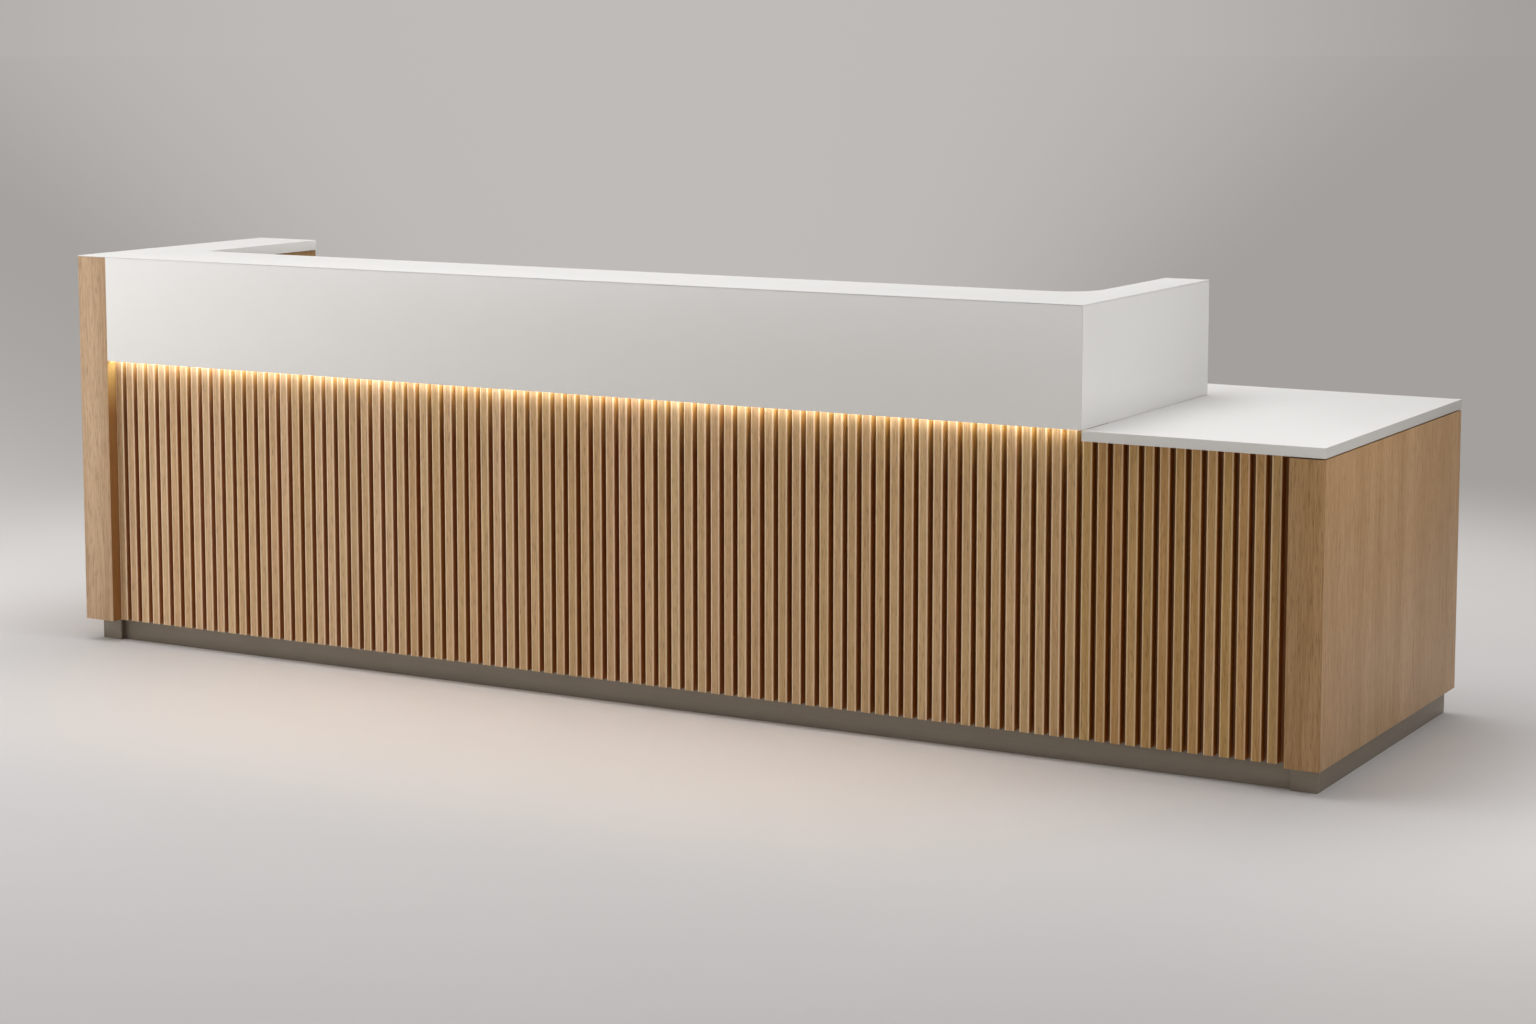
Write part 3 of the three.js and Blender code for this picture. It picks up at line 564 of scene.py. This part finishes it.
def give_board(piece, tone, seed):
    """Marks a piece with its own part of the grain pattern and its tone."""
    dice = random.Random(seed)
    offset = [dice.uniform(0, reach) for reach in (HUE_REACH, PATTERN_REACH, PATTERN_REACH)]
    count = len(piece.data.vertices)
    piece.data.attributes.new("board", "FLOAT_VECTOR", "POINT").data.foreach_set("vector", offset * count)
    piece.data.attributes.new("tone", "FLOAT", "POINT").data.foreach_set("value", [tone] * count)


def settle(piece, material, node):
    """Gives a finished piece its material, and lets it ride and stand for its node."""
    piece.data.materials.clear()
    piece.data.materials.append(material)
    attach(piece, NODES[node]["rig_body"])
    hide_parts(node)
    return piece


def eased_boards(names, material, radius):
    """Rounded copies of like nodes, each with its own grain, and a tone of painted light and shade where one
    is listed.
    """
    for node in names:
        piece = rounded("finished_" + node, copy_of(node), radius)
        give_board(piece, BOARD_SHADE_TONES.get(node, 0.0), node)
        settle(piece, material, node)


def face_over(node, material, facing):
    """Gives the faces of a finished piece that face a way another material."""
    mesh = bpy.data.objects["finished_" + node].data
    mesh.materials.append(material)
    for face in mesh.polygons:
        if facing(face.normal):
            face.material_index = len(mesh.materials) - 1


def coat(names, material):
    """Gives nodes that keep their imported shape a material."""
    for node in names:
        NODES[node].data.materials[0] = material


class DESK_OT_studio(bpy.types.Operator):
    """Make the floor, the soft lamps, the pale surroundings and the camera"""
    bl_idname = "desk.studio"
    bl_label = "Studio"

    def execute(self, context):
        studio = context.scene.desk_studio
        self.floor(context.scene, studio)
        self.surround(context.scene, studio)
        for name, lamp in LAMPS.items():
            self.lamp(name, **lamp)
        self.camera(context.scene, studio)
        return {"FINISHED"}

    def floor(self, scene, studio):
        """A round floor that reaches to the horizon."""
        turns = [i * math.tau / FLOOR_SIDES for i in range(FLOOR_SIDES)]
        corners = [(FLOOR_RADIUS * math.cos(turn), FLOOR_RADIUS * math.sin(turn), 0) for turn in turns]
        mesh = bpy.data.meshes.new("floor")
        mesh.from_pydata(corners, [], [range(FLOOR_SIDES)])
        floor = bpy.data.objects.new("floor", mesh)
        scene.collection.objects.link(floor)
        material = finished("painted_floor", self.paint, studio=studio)
        self.fade(material.node_tree, studio)
        mesh.materials.append(material)

    def backdrop(self, tree, place, studio):
        """The grey seen in a direction: pale behind the desk, dimmer beside that, palest elsewhere."""
        way = add(tree, "ShaderNodeVectorMath", {0: place}, operation="NORMALIZE")
        facing = add(tree, "ShaderNodeVectorMath", {0: way, 1: PALE_WAY}, operation="DOT_PRODUCT")
        share = add(tree, "ShaderNodeMapRange", {
            "Value": facing, "From Min": PALE_SPREAD[0], "From Max": PALE_SPREAD[1]},
            interpolation_type="SMOOTHSTEP")
        behind = add(tree, "ShaderNodeMix", {
            "Factor": share, "A": studio.dim, "B": studio.far}, data_type="RGBA")
        rear = add(tree, "ShaderNodeVectorMath", {0: way, 1: REAR_WAY}, operation="DOT_PRODUCT")
        turn = add(tree, "ShaderNodeMapRange", {
            "Value": rear, "From Min": REAR_SPREAD[0], "From Max": REAR_SPREAD[1]},
            interpolation_type="SMOOTHSTEP")
        return add(tree, "ShaderNodeMix", {"Factor": turn, "A": studio.around, "B": behind}, data_type="RGBA")

    def paint(self, tree, studio):
        """Matt painted floor: pale with a faint mottle, with painted light that makes it paler beyond the
        desk and a warm painted glow ahead.
        """
        place = add(tree, "ShaderNodeTexCoord").outputs["Object"]
        spot = add(tree, "ShaderNodeSeparateXYZ", {"Vector": place}).outputs
        mottle = add(tree, "ShaderNodeTexNoise", {"Vector": place, "Scale": per(330), "Detail": 4.0})
        near = add(tree, "ShaderNodeMix", {
            "Factor": mottle, "A": studio.floor, "B": dulled(studio.floor, 0.97)}, data_type="RGBA")
        aside = add(tree, "ShaderNodeMath", {0: spot["X"]}, operation="ABSOLUTE")
        ahead = add(tree, "ShaderNodeMath", {0: spot["Y"], 1: POOL_AHEAD}, operation="ADD")
        apart = add(tree, "ShaderNodeMath", {0: ahead}, operation="ABSOLUTE")
        changes = ((aside, PALE_ASIDE), (spot["Y"], PALE_BEHIND), (aside, POOL_ALONG), (apart, POOL_ACROSS))
        ends, back, along, across = [
            add(tree, "ShaderNodeMapRange", {"Value": value, "From Min": start, "From Max": whole},
                interpolation_type="SMOOTHSTEP")
            for value, (start, whole) in changes]
        # Painted light: paler beyond the desk's ends and behind it
        beyond = add(tree, "ShaderNodeMath", {0: ends, 1: back}, operation="MAXIMUM")
        paint = add(tree, "ShaderNodeMix", {"Factor": beyond, "A": near, "B": studio.pale}, data_type="RGBA")
        # Painted pool of warm light in front of the slats
        pool = add(tree, "ShaderNodeMath", {0: across, 1: along}, operation="MULTIPLY")
        warm = add(tree, "ShaderNodeMix", {"Factor": pool, "A": paint, "B": studio.pool}, data_type="RGBA")
        seen = add(tree, "ShaderNodeLightPath").outputs["Is Camera Ray"]
        cast = add(tree, "ShaderNodeMix", {"Factor": seen, "A": studio.bounce, "B": warm}, data_type="RGBA")
        return {"Base Color": cast, "Roughness": 0.55, "Specular IOR Level": 0.3}

    def fade(self, tree, studio):
        """Lets the camera see the floor turn into the backdrop's grey with distance."""
        place = add(tree, "ShaderNodeTexCoord").outputs["Object"]
        reach = add(tree, "ShaderNodeVectorMath", {0: place}, operation="LENGTH")
        far = add(tree, "ShaderNodeMapRange", {
            "Value": reach, "From Min": FADE_REACH[0], "From Max": FADE_REACH[1]},
            interpolation_type="SMOOTHSTEP")
        seen = add(tree, "ShaderNodeLightPath").outputs["Is Camera Ray"]
        share = add(tree, "ShaderNodeMath", {0: far, 1: seen}, operation="MULTIPLY")
        plain = add(tree, "ShaderNodeEmission", {"Color": self.backdrop(tree, place, studio)})
        mixed = add(tree, "ShaderNodeMixShader", {"Fac": share, 1: tree.nodes["Principled BSDF"], 2: plain})
        tree.links.new(mixed.outputs[0], tree.nodes["Material Output"].inputs["Surface"])

    def surround(self, scene, studio):
        """Even light from all round; the camera and reflections see the backdrop's grey instead."""
        scene.world = scene.world or bpy.data.worlds.new("studio")
        scene.world.use_nodes = True
        tree = scene.world.node_tree
        tree.nodes.clear()
        paths = add(tree, "ShaderNodeLightPath").outputs
        direct = add(tree, "ShaderNodeMath", {0: paths["Is Camera Ray"], 1: paths["Is Glossy Ray"]},
                     operation="MAXIMUM")
        seen = add(tree, "ShaderNodeMath", {0: direct, 1: paths["Is Transmission Ray"]}, operation="MAXIMUM")
        light = add(tree, "ShaderNodeBackground", {"Color": studio.even, "Strength": WORLD_STRENGTH})
        way = add(tree, "ShaderNodeTexCoord").outputs["Generated"]
        grey = self.backdrop(tree, way, studio)
        plain = add(tree, "ShaderNodeBackground", {"Color": grey, "Strength": 1.0})
        mixed = add(tree, "ShaderNodeMixShader", {"Fac": seen, 1: light, 2: plain})
        add(tree, "ShaderNodeOutputWorld", {"Surface": mixed})
        scene.view_settings.view_transform = "Standard"

    def lamp(self, name, place, target, width, height, power):
        """A wide lamp that lights the desk and isn't seen itself, not in reflections either."""
        data = bpy.data.lights.new(name, "AREA")
        data.shape, data.size, data.size_y, data.energy = "RECTANGLE", width, height, power
        lamp = bpy.data.objects.new(name, data)
        lamp.location, lamp.visible_camera, lamp.visible_glossy = place, False, False
        lamp.rotation_euler = (Vector(target) - Vector(place)).to_track_quat("-Z", "Y").to_euler()
        bpy.context.scene.collection.objects.link(lamp)

    def camera(self, scene, studio):
        """The camera, ahead of the desk's right-hand end, with the tall counter's top in view."""
        data = bpy.data.cameras.new("camera")
        data.lens, data.sensor_width, data.shift_y = studio.lens, SENSOR_WIDTH, CAMERA_SHIFT
        data.clip_end = CAMERA_REACH
        camera = bpy.data.objects.new("camera", data)
        camera.location = CAMERA_PLACE
        camera.rotation_euler = (math.pi / 2 - CAMERA_DOWN, 0, CAMERA_LEFT)
        scene.collection.objects.link(camera)
        scene.camera = camera


class DESK_OT_white_shell(bpy.types.Operator):
    """Finish the white counters, the fascia and the return"""
    bl_idname = "desk.white_shell"
    bl_label = "White counters"

    def execute(self, context):
        looks, sizes = context.scene.desk_finishes, context.scene.desk_sizes
        names = (
            "counter_top", "fascia_front", "return_outer", "return_inner", "return_rear", "low_counter_top",
        )
        shell = finished("acrylic_solid_surface", solid_surface, white=looks.white_shell)
        eased_boards(names, shell, sizes.white_edge)
        # Painted shade on the low counter's front and rear edges, darker still on its ends
        edge = finished("shaded_solid_surface_edge", solid_surface, white=looks.shaded_white_edge)
        face_over("low_counter_top", edge, lambda normal: abs(normal.y) > CORNER_SHARE)
        # Darker painted shade on the low counter's end edges
        end = finished("shaded_solid_surface_end", solid_surface, white=looks.shaded_white_end)
        face_over("low_counter_top", end, lambda normal: abs(normal.x) > CORNER_SHARE)
        return {"FINISHED"}


class DESK_OT_oak_ends(bpy.types.Operator):
    """Finish the oak ends, the posts and the oak of the staff side"""
    bl_idname = "desk.oak_ends"
    bl_label = "Oak ends"

    def execute(self, context):
        names = (
            "left_end_panel", "left_front_post", "left_inner_panel", "left_rear_panel", "right_end_panel",
            "right_front_post", "staff_panel", "worktop_gable", "cabinet_side", "cabinet_base",
            "cabinet_divider", "cupboard_shelf",
        )
        eased_boards(names, oak_veneer(), context.scene.desk_sizes.board_edge)
        # The posts' side faces beside the slats take the dark sheet's material as painted shade
        face_over("left_front_post", shaded_brown_sheet(), lambda normal: normal.x > FACE_SHARE)
        face_over("right_front_post", shaded_brown_sheet(), lambda normal: normal.x < -FACE_SHARE)
        return {"FINISHED"}


class DESK_OT_slats(bpy.types.Operator):
    """Make the slats of each front panel, with the sheet that they are glued to"""
    bl_idname = "desk.slats"
    bl_label = "Slats"

    def execute(self, context):
        tree, sizes = self.slat_panel(), context.scene.desk_sizes
        for seed, (node, tone) in enumerate(SLAT_SHADE_TONES.items(), FIRST_SEED):
            piece = bpy.data.objects.new("finished_" + node, bpy.data.meshes.new(node))
            context.scene.collection.objects.link(piece)
            grown(piece, tree, self.measures(node, sizes) | {"Tone": tone, "Seed": seed})
            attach(piece, "base")
            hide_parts(node)
        return {"FINISHED"}

    def measures(self, node, sizes):
        """The sizes of a panel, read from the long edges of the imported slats."""
        low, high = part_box(node)
        points = [vertex.co for vertex in NODES[node].data.vertices]
        front = low.y + FRONT_DISTANCE
        edges = sorted({round(point.x, EDGE_DECIMALS) for point in points if point.y < front})
        if len(edges) < 4 or len(edges) % 2:
            raise RuntimeError(f"{node} has no clear slats")
        left, right, next_left = edges[:3]
        return {
            "Count": len(edges) // 2, "First": (left + right) / 2, "Pitch": next_left - left,
            "Slat width": right - left, "Slat depth": sizes.slat_depth, "Slat edge": sizes.slat_edge,
            "Sheet": high.y - low.y - sizes.slat_depth, "Front": low.y, "Left": low.x, "Right": high.x,
            "Bottom": low.z, "Top": high.z,
        }

    def slat_panel(self):
        """A row of upright slats with rounded edges, each with its own grain and tone, on one sheet."""
        tree = bpy.data.node_groups.new("slat_panel", "GeometryNodeTree")
        tree.interface.new_socket("Geometry", in_out="OUTPUT", socket_type="NodeSocketGeometry")
        for name in ("Count", "Seed"):
            tree.interface.new_socket(name, in_out="INPUT", socket_type="NodeSocketInt")
        for name in ("First", "Pitch", "Slat width", "Slat depth", "Slat edge", "Sheet", "Front", "Left",
                     "Right", "Bottom", "Top", "Tone"):
            tree.interface.new_socket(name, in_out="INPUT", socket_type="NodeSocketFloat")
        size = add(tree, "NodeGroupInput").outputs
        tall = add(tree, "ShaderNodeMath", {0: size["Top"], 1: size["Bottom"]}, operation="SUBTRACT")
        joined = add(tree, "GeometryNodeJoinGeometry")
        for part in (self.sheet(tree, size, tall), self.row(tree, size, self.slat(tree, size, tall))):
            tree.links.new(part.outputs[0], joined.inputs[0])
        add(tree, "NodeGroupOutput", {"Geometry": joined})
        return tree

    def slat(self, tree, size, tall):
        """One slat, marked with its depth behind the face and its place across the face, from -1 to 1."""
        end = add(tree, "ShaderNodeCombineXYZ", {"Z": tall})
        stem = add(tree, "GeometryNodeCurvePrimitiveLine", {"End": end})
        section = add(tree, "GeometryNodeCurvePrimitiveQuadrilateral", {
            "Width": size["Slat width"], "Height": size["Slat depth"]})
        eased = add(tree, "GeometryNodeFilletCurve", {
            "Curve": section, "Radius": size["Slat edge"], "Count": SLAT_EDGE_STEPS}, mode="POLY")
        bar = add(tree, "GeometryNodeCurveToMesh", {"Curve": stem, "Profile Curve": eased, "Fill Caps": True})
        position = add(tree, "GeometryNodeInputPosition")
        place = add(tree, "ShaderNodeSeparateXYZ", {"Vector": position}).outputs
        inward = add(tree, "ShaderNodeMath", {0: size["Slat depth"], 1: 0.5, 2: place["Y"]},
                     operation="MULTIPLY_ADD")
        graded = add(tree, "GeometryNodeStoreNamedAttribute", {
            "Geometry": bar, "Name": "depth", "Value": inward}, data_type="FLOAT", domain="POINT")
        side = add(tree, "ShaderNodeMath", {0: place["X"], 1: size["Slat width"]}, operation="DIVIDE")
        double = add(tree, "ShaderNodeMath", {0: side, 1: 2.0}, operation="MULTIPLY")
        return add(tree, "GeometryNodeStoreNamedAttribute", {
            "Geometry": graded, "Name": "across", "Value": double}, data_type="FLOAT", domain="POINT")

    def row(self, tree, size, slat):
        """The slats of a panel, each with its own grain, and a tone that strays at random from its panel's
        tone of painted light and shade.
        """
        middle = add(tree, "ShaderNodeMath", {0: size["Slat depth"], 1: 0.5, 2: size["Front"]},
                     operation="MULTIPLY_ADD")
        foot = add(tree, "ShaderNodeCombineXYZ", {"X": size["First"], "Y": middle, "Z": size["Bottom"]})
        step = add(tree, "ShaderNodeCombineXYZ", {"X": size["Pitch"]})
        feet = add(tree, "GeometryNodeMeshLine", {
            "Count": size["Count"], "Start Location": foot, "Offset": step}, mode="OFFSET")
        slats = add(tree, "GeometryNodeInstanceOnPoints", {"Points": feet, "Instance": slat})
        offset = add(tree, "FunctionNodeRandomValue", {
            "Min": (0, 0, 0), "Max": (PATTERN_REACH,) * 3, "Seed": size["Seed"]}, data_type="FLOAT_VECTOR")
        marked = add(tree, "GeometryNodeStoreNamedAttribute", {
            "Geometry": slats, "Name": "board", "Value": offset}, data_type="FLOAT_VECTOR", domain="INSTANCE")
        stray = add(tree, "FunctionNodeRandomValue", {
            "Min": -SLAT_TONE_STRAY, "Max": SLAT_TONE_STRAY, "Seed": size["Seed"]}, data_type="FLOAT")
        shade = add(tree, "ShaderNodeMath", {0: stray, 1: size["Tone"]}, operation="ADD")
        toned = add(tree, "GeometryNodeStoreNamedAttribute", {
            "Geometry": marked, "Name": "tone", "Value": shade}, data_type="FLOAT", domain="INSTANCE")
        real = add(tree, "GeometryNodeRealizeInstances", {"Geometry": toned})
        return add(tree, "GeometryNodeSetMaterial", {"Geometry": real, "Material": oak_slats()})

    def sheet(self, tree, size, tall):
        """The sheet behind the slats."""
        span = add(tree, "ShaderNodeMath", {0: size["Right"], 1: size["Left"]}, operation="SUBTRACT")
        extent = add(tree, "ShaderNodeCombineXYZ", {"X": span, "Y": size["Sheet"], "Z": tall})
        sheet = add(tree, "GeometryNodeMeshCube", {"Size": extent})
        front = add(tree, "ShaderNodeMath", {0: size["Front"], 1: size["Slat depth"]}, operation="ADD")
        centre = add(tree, "ShaderNodeCombineXYZ", {
            axis: add(tree, "ShaderNodeMath", {0: whole, 1: 0.5, 2: start}, operation="MULTIPLY_ADD")
            for axis, whole, start in (
                ("X", span, size["Left"]), ("Y", size["Sheet"], front), ("Z", tall, size["Bottom"]))})
        placed = add(tree, "GeometryNodeTransform", {"Geometry": sheet, "Translation": centre})
        return add(tree, "GeometryNodeSetMaterial", {"Geometry": placed, "Material": shaded_brown_sheet()})


class DESK_OT_front_wall(bpy.types.Operator):
    """Finish the boards inside the front wall"""
    bl_idname = "desk.front_wall"
    bl_label = "Front wall"

    def execute(self, context):
        names = ("backing_board", "fascia_core", "wall_end", "wall_rib_1", "wall_rib_2")
        coat(names, finished("brown_carcass_board", chipboard))
        return {"FINISHED"}


class DESK_OT_light(bpy.types.Operator):
    """Finish the light under the fascia"""
    bl_idname = "desk.light"
    bl_label = "Light"

    def execute(self, context):
        bright = context.scene.desk_finishes.aluminium
        coat(["light_channel"], finished("anodised_aluminium", satin_metal, bright=bright, rough=0.4))
        coat(["light_tape"], white_laminate())
        coat(["light_diffuser"], finished("lit_opal_polycarbonate", lit_opal))
        coat(["light_driver", "light_lead"], finished("moulded_black_plastic", moulded_plastic))
        return {"FINISHED"}


class DESK_OT_plinth(bpy.types.Operator):
    """Finish the brushed plinth"""
    bl_idname = "desk.plinth"
    bl_label = "Plinth"

    def execute(self, context):
        names = (
            "plinth_front", "plinth_left_block", "plinth_left_side", "plinth_right_block",
            "plinth_right_side", "plinth_rear",
        )
        metal = finished("brushed_plinth_metal", brushed_metal)
        eased_boards(names, metal, context.scene.desk_sizes.metal_edge)
        return {"FINISHED"}


class DESK_OT_worktop(bpy.types.Operator):
    """Finish the staff worktop"""
    bl_idname = "desk.worktop"
    bl_label = "Staff worktop"

    def execute(self, context):
        eased_boards(["staff_worktop"], white_laminate(), context.scene.desk_sizes.worktop_edge)
        return {"FINISHED"}


class DESK_OT_drawers(bpy.types.Operator):
    """Finish the drawers and the cupboard door, with their runners and pivots"""
    bl_idname = "desk.drawers"
    bl_label = "Drawers and door"

    def execute(self, context):
        looks, sizes = context.scene.desk_finishes, context.scene.desk_sizes
        numbers = (1, 2, 3)
        fronts = [f"drawer_front_{n}" for n in numbers] + ["cupboard_door"]
        eased_boards(fronts, oak_veneer(), sizes.board_edge)
        boxes = [f"drawer_box_{n}" for n in numbers]
        eased_boards(boxes, finished("lacquered_birch_plywood", plywood), sizes.box_edge)
        fittings = ["pivot_lower", "pivot_upper"]
        fittings += [f"runner_{side}_{n}" for side in ("left", "right") for n in numbers]
        coat(fittings, finished("zinc_plated_steel", satin_metal, bright=looks.zinc, rough=0.38))
        return {"FINISHED"}


class DESK_OT_handles(bpy.types.Operator):
    """Bend the bow handles of the drawers and the door from round bar"""
    bl_idname = "desk.handles"
    bl_label = "Handles"

    def execute(self, context):
        bright = context.scene.desk_finishes.steel
        steel = finished("satin_brushed_steel", satin_metal, bright=bright, rough=0.3)
        tree = self.bent_bar(steel)
        for node in ("drawer_handle_1", "drawer_handle_2", "drawer_handle_3", "cupboard_handle"):
            low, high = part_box(node)
            middle, size = (low + high) / 2, high - low
            bar = min(size.x, size.z)
            along = Vector((size.x - bar, 0, size.z - bar)) / 2
            foot = Vector((middle.x, low.y, middle.z))
            bow = Vector((middle.x, high.y - bar / 2, middle.z))
            corners = [foot - along, bow - along, bow + along, foot + along]
            path = bpy.data.meshes.new(node)
            path.from_pydata(corners, [(0, 1), (1, 2), (2, 3)], [])
            piece = bpy.data.objects.new("finished_" + node, path)
            context.scene.collection.objects.link(piece)
            values = {"Bar": bar, "Bend": context.scene.desk_sizes.handle_bend}
            settle(grown(piece, tree, values), steel, node)
        return {"FINISHED"}

    def bent_bar(self, steel):
        """Round bar that follows a line and bends at its corners."""
        tree = bpy.data.node_groups.new("bent_bar", "GeometryNodeTree")
        tree.interface.new_socket("Geometry", in_out="OUTPUT", socket_type="NodeSocketGeometry")
        tree.interface.new_socket("Geometry", in_out="INPUT", socket_type="NodeSocketGeometry")
        for name in ("Bar", "Bend"):
            tree.interface.new_socket(name, in_out="INPUT", socket_type="NodeSocketFloat")
        size = add(tree, "NodeGroupInput").outputs
        line = add(tree, "GeometryNodeMeshToCurve", {"Mesh": size["Geometry"]})
        bent = add(tree, "GeometryNodeFilletCurve", {
            "Curve": line, "Radius": size["Bend"], "Count": BEND_STEPS}, mode="POLY")
        half = add(tree, "ShaderNodeMath", {0: size["Bar"], 1: 0.5}, operation="MULTIPLY")
        ring = add(tree, "GeometryNodeCurvePrimitiveCircle", {"Resolution": BAR_SIDES, "Radius": half})
        bar = add(tree, "GeometryNodeCurveToMesh", {"Curve": bent, "Profile Curve": ring, "Fill Caps": True})
        real = add(tree, "GeometryNodeRealizeInstances", {"Geometry": bar})
        metal = add(tree, "GeometryNodeSetMaterial", {"Geometry": real, "Material": steel})
        add(tree, "NodeGroupOutput", {"Geometry": metal})
        return tree


class DESK_PT_panel(bpy.types.Panel):
    """Lists the desk's sizes, finishes and makers"""
    bl_idname = "DESK_PT_panel"
    bl_label = "Reception desk"
    bl_space_type = "VIEW_3D"
    bl_region_type = "UI"
    bl_category = "Desk"

    def draw(self, context):
        for group in (context.scene.desk_sizes, context.scene.desk_finishes, context.scene.desk_studio):
            for name in group.__annotations__:
                self.layout.prop(group, name)
        for operator in OPERATORS:
            self.layout.operator(operator.bl_idname)


OPERATORS = (
    DESK_OT_studio, DESK_OT_white_shell, DESK_OT_oak_ends, DESK_OT_slats, DESK_OT_front_wall, DESK_OT_light,
    DESK_OT_plinth, DESK_OT_worktop, DESK_OT_drawers, DESK_OT_handles,
)
GROUPS = {"desk_sizes": DeskSizes, "desk_finishes": DeskFinishes, "desk_studio": DeskStudio}


def register():
    for item in (*GROUPS.values(), *OPERATORS, DESK_PT_panel):
        bpy.utils.register_class(item)
    for name, group in GROUPS.items():
        setattr(bpy.types.Scene, name, bpy.props.PointerProperty(type=group))


def unregister():
    for name in GROUPS:
        delattr(bpy.types.Scene, name)
    for item in (DESK_PT_panel, *reversed(OPERATORS), *GROUPS.values()):
        bpy.utils.unregister_class(item)


def main():
    register()
    for operator in OPERATORS:
        group, name = operator.bl_idname.split(".")
        getattr(getattr(bpy.ops, group), name)()


if __name__ == "__main__":
    main()
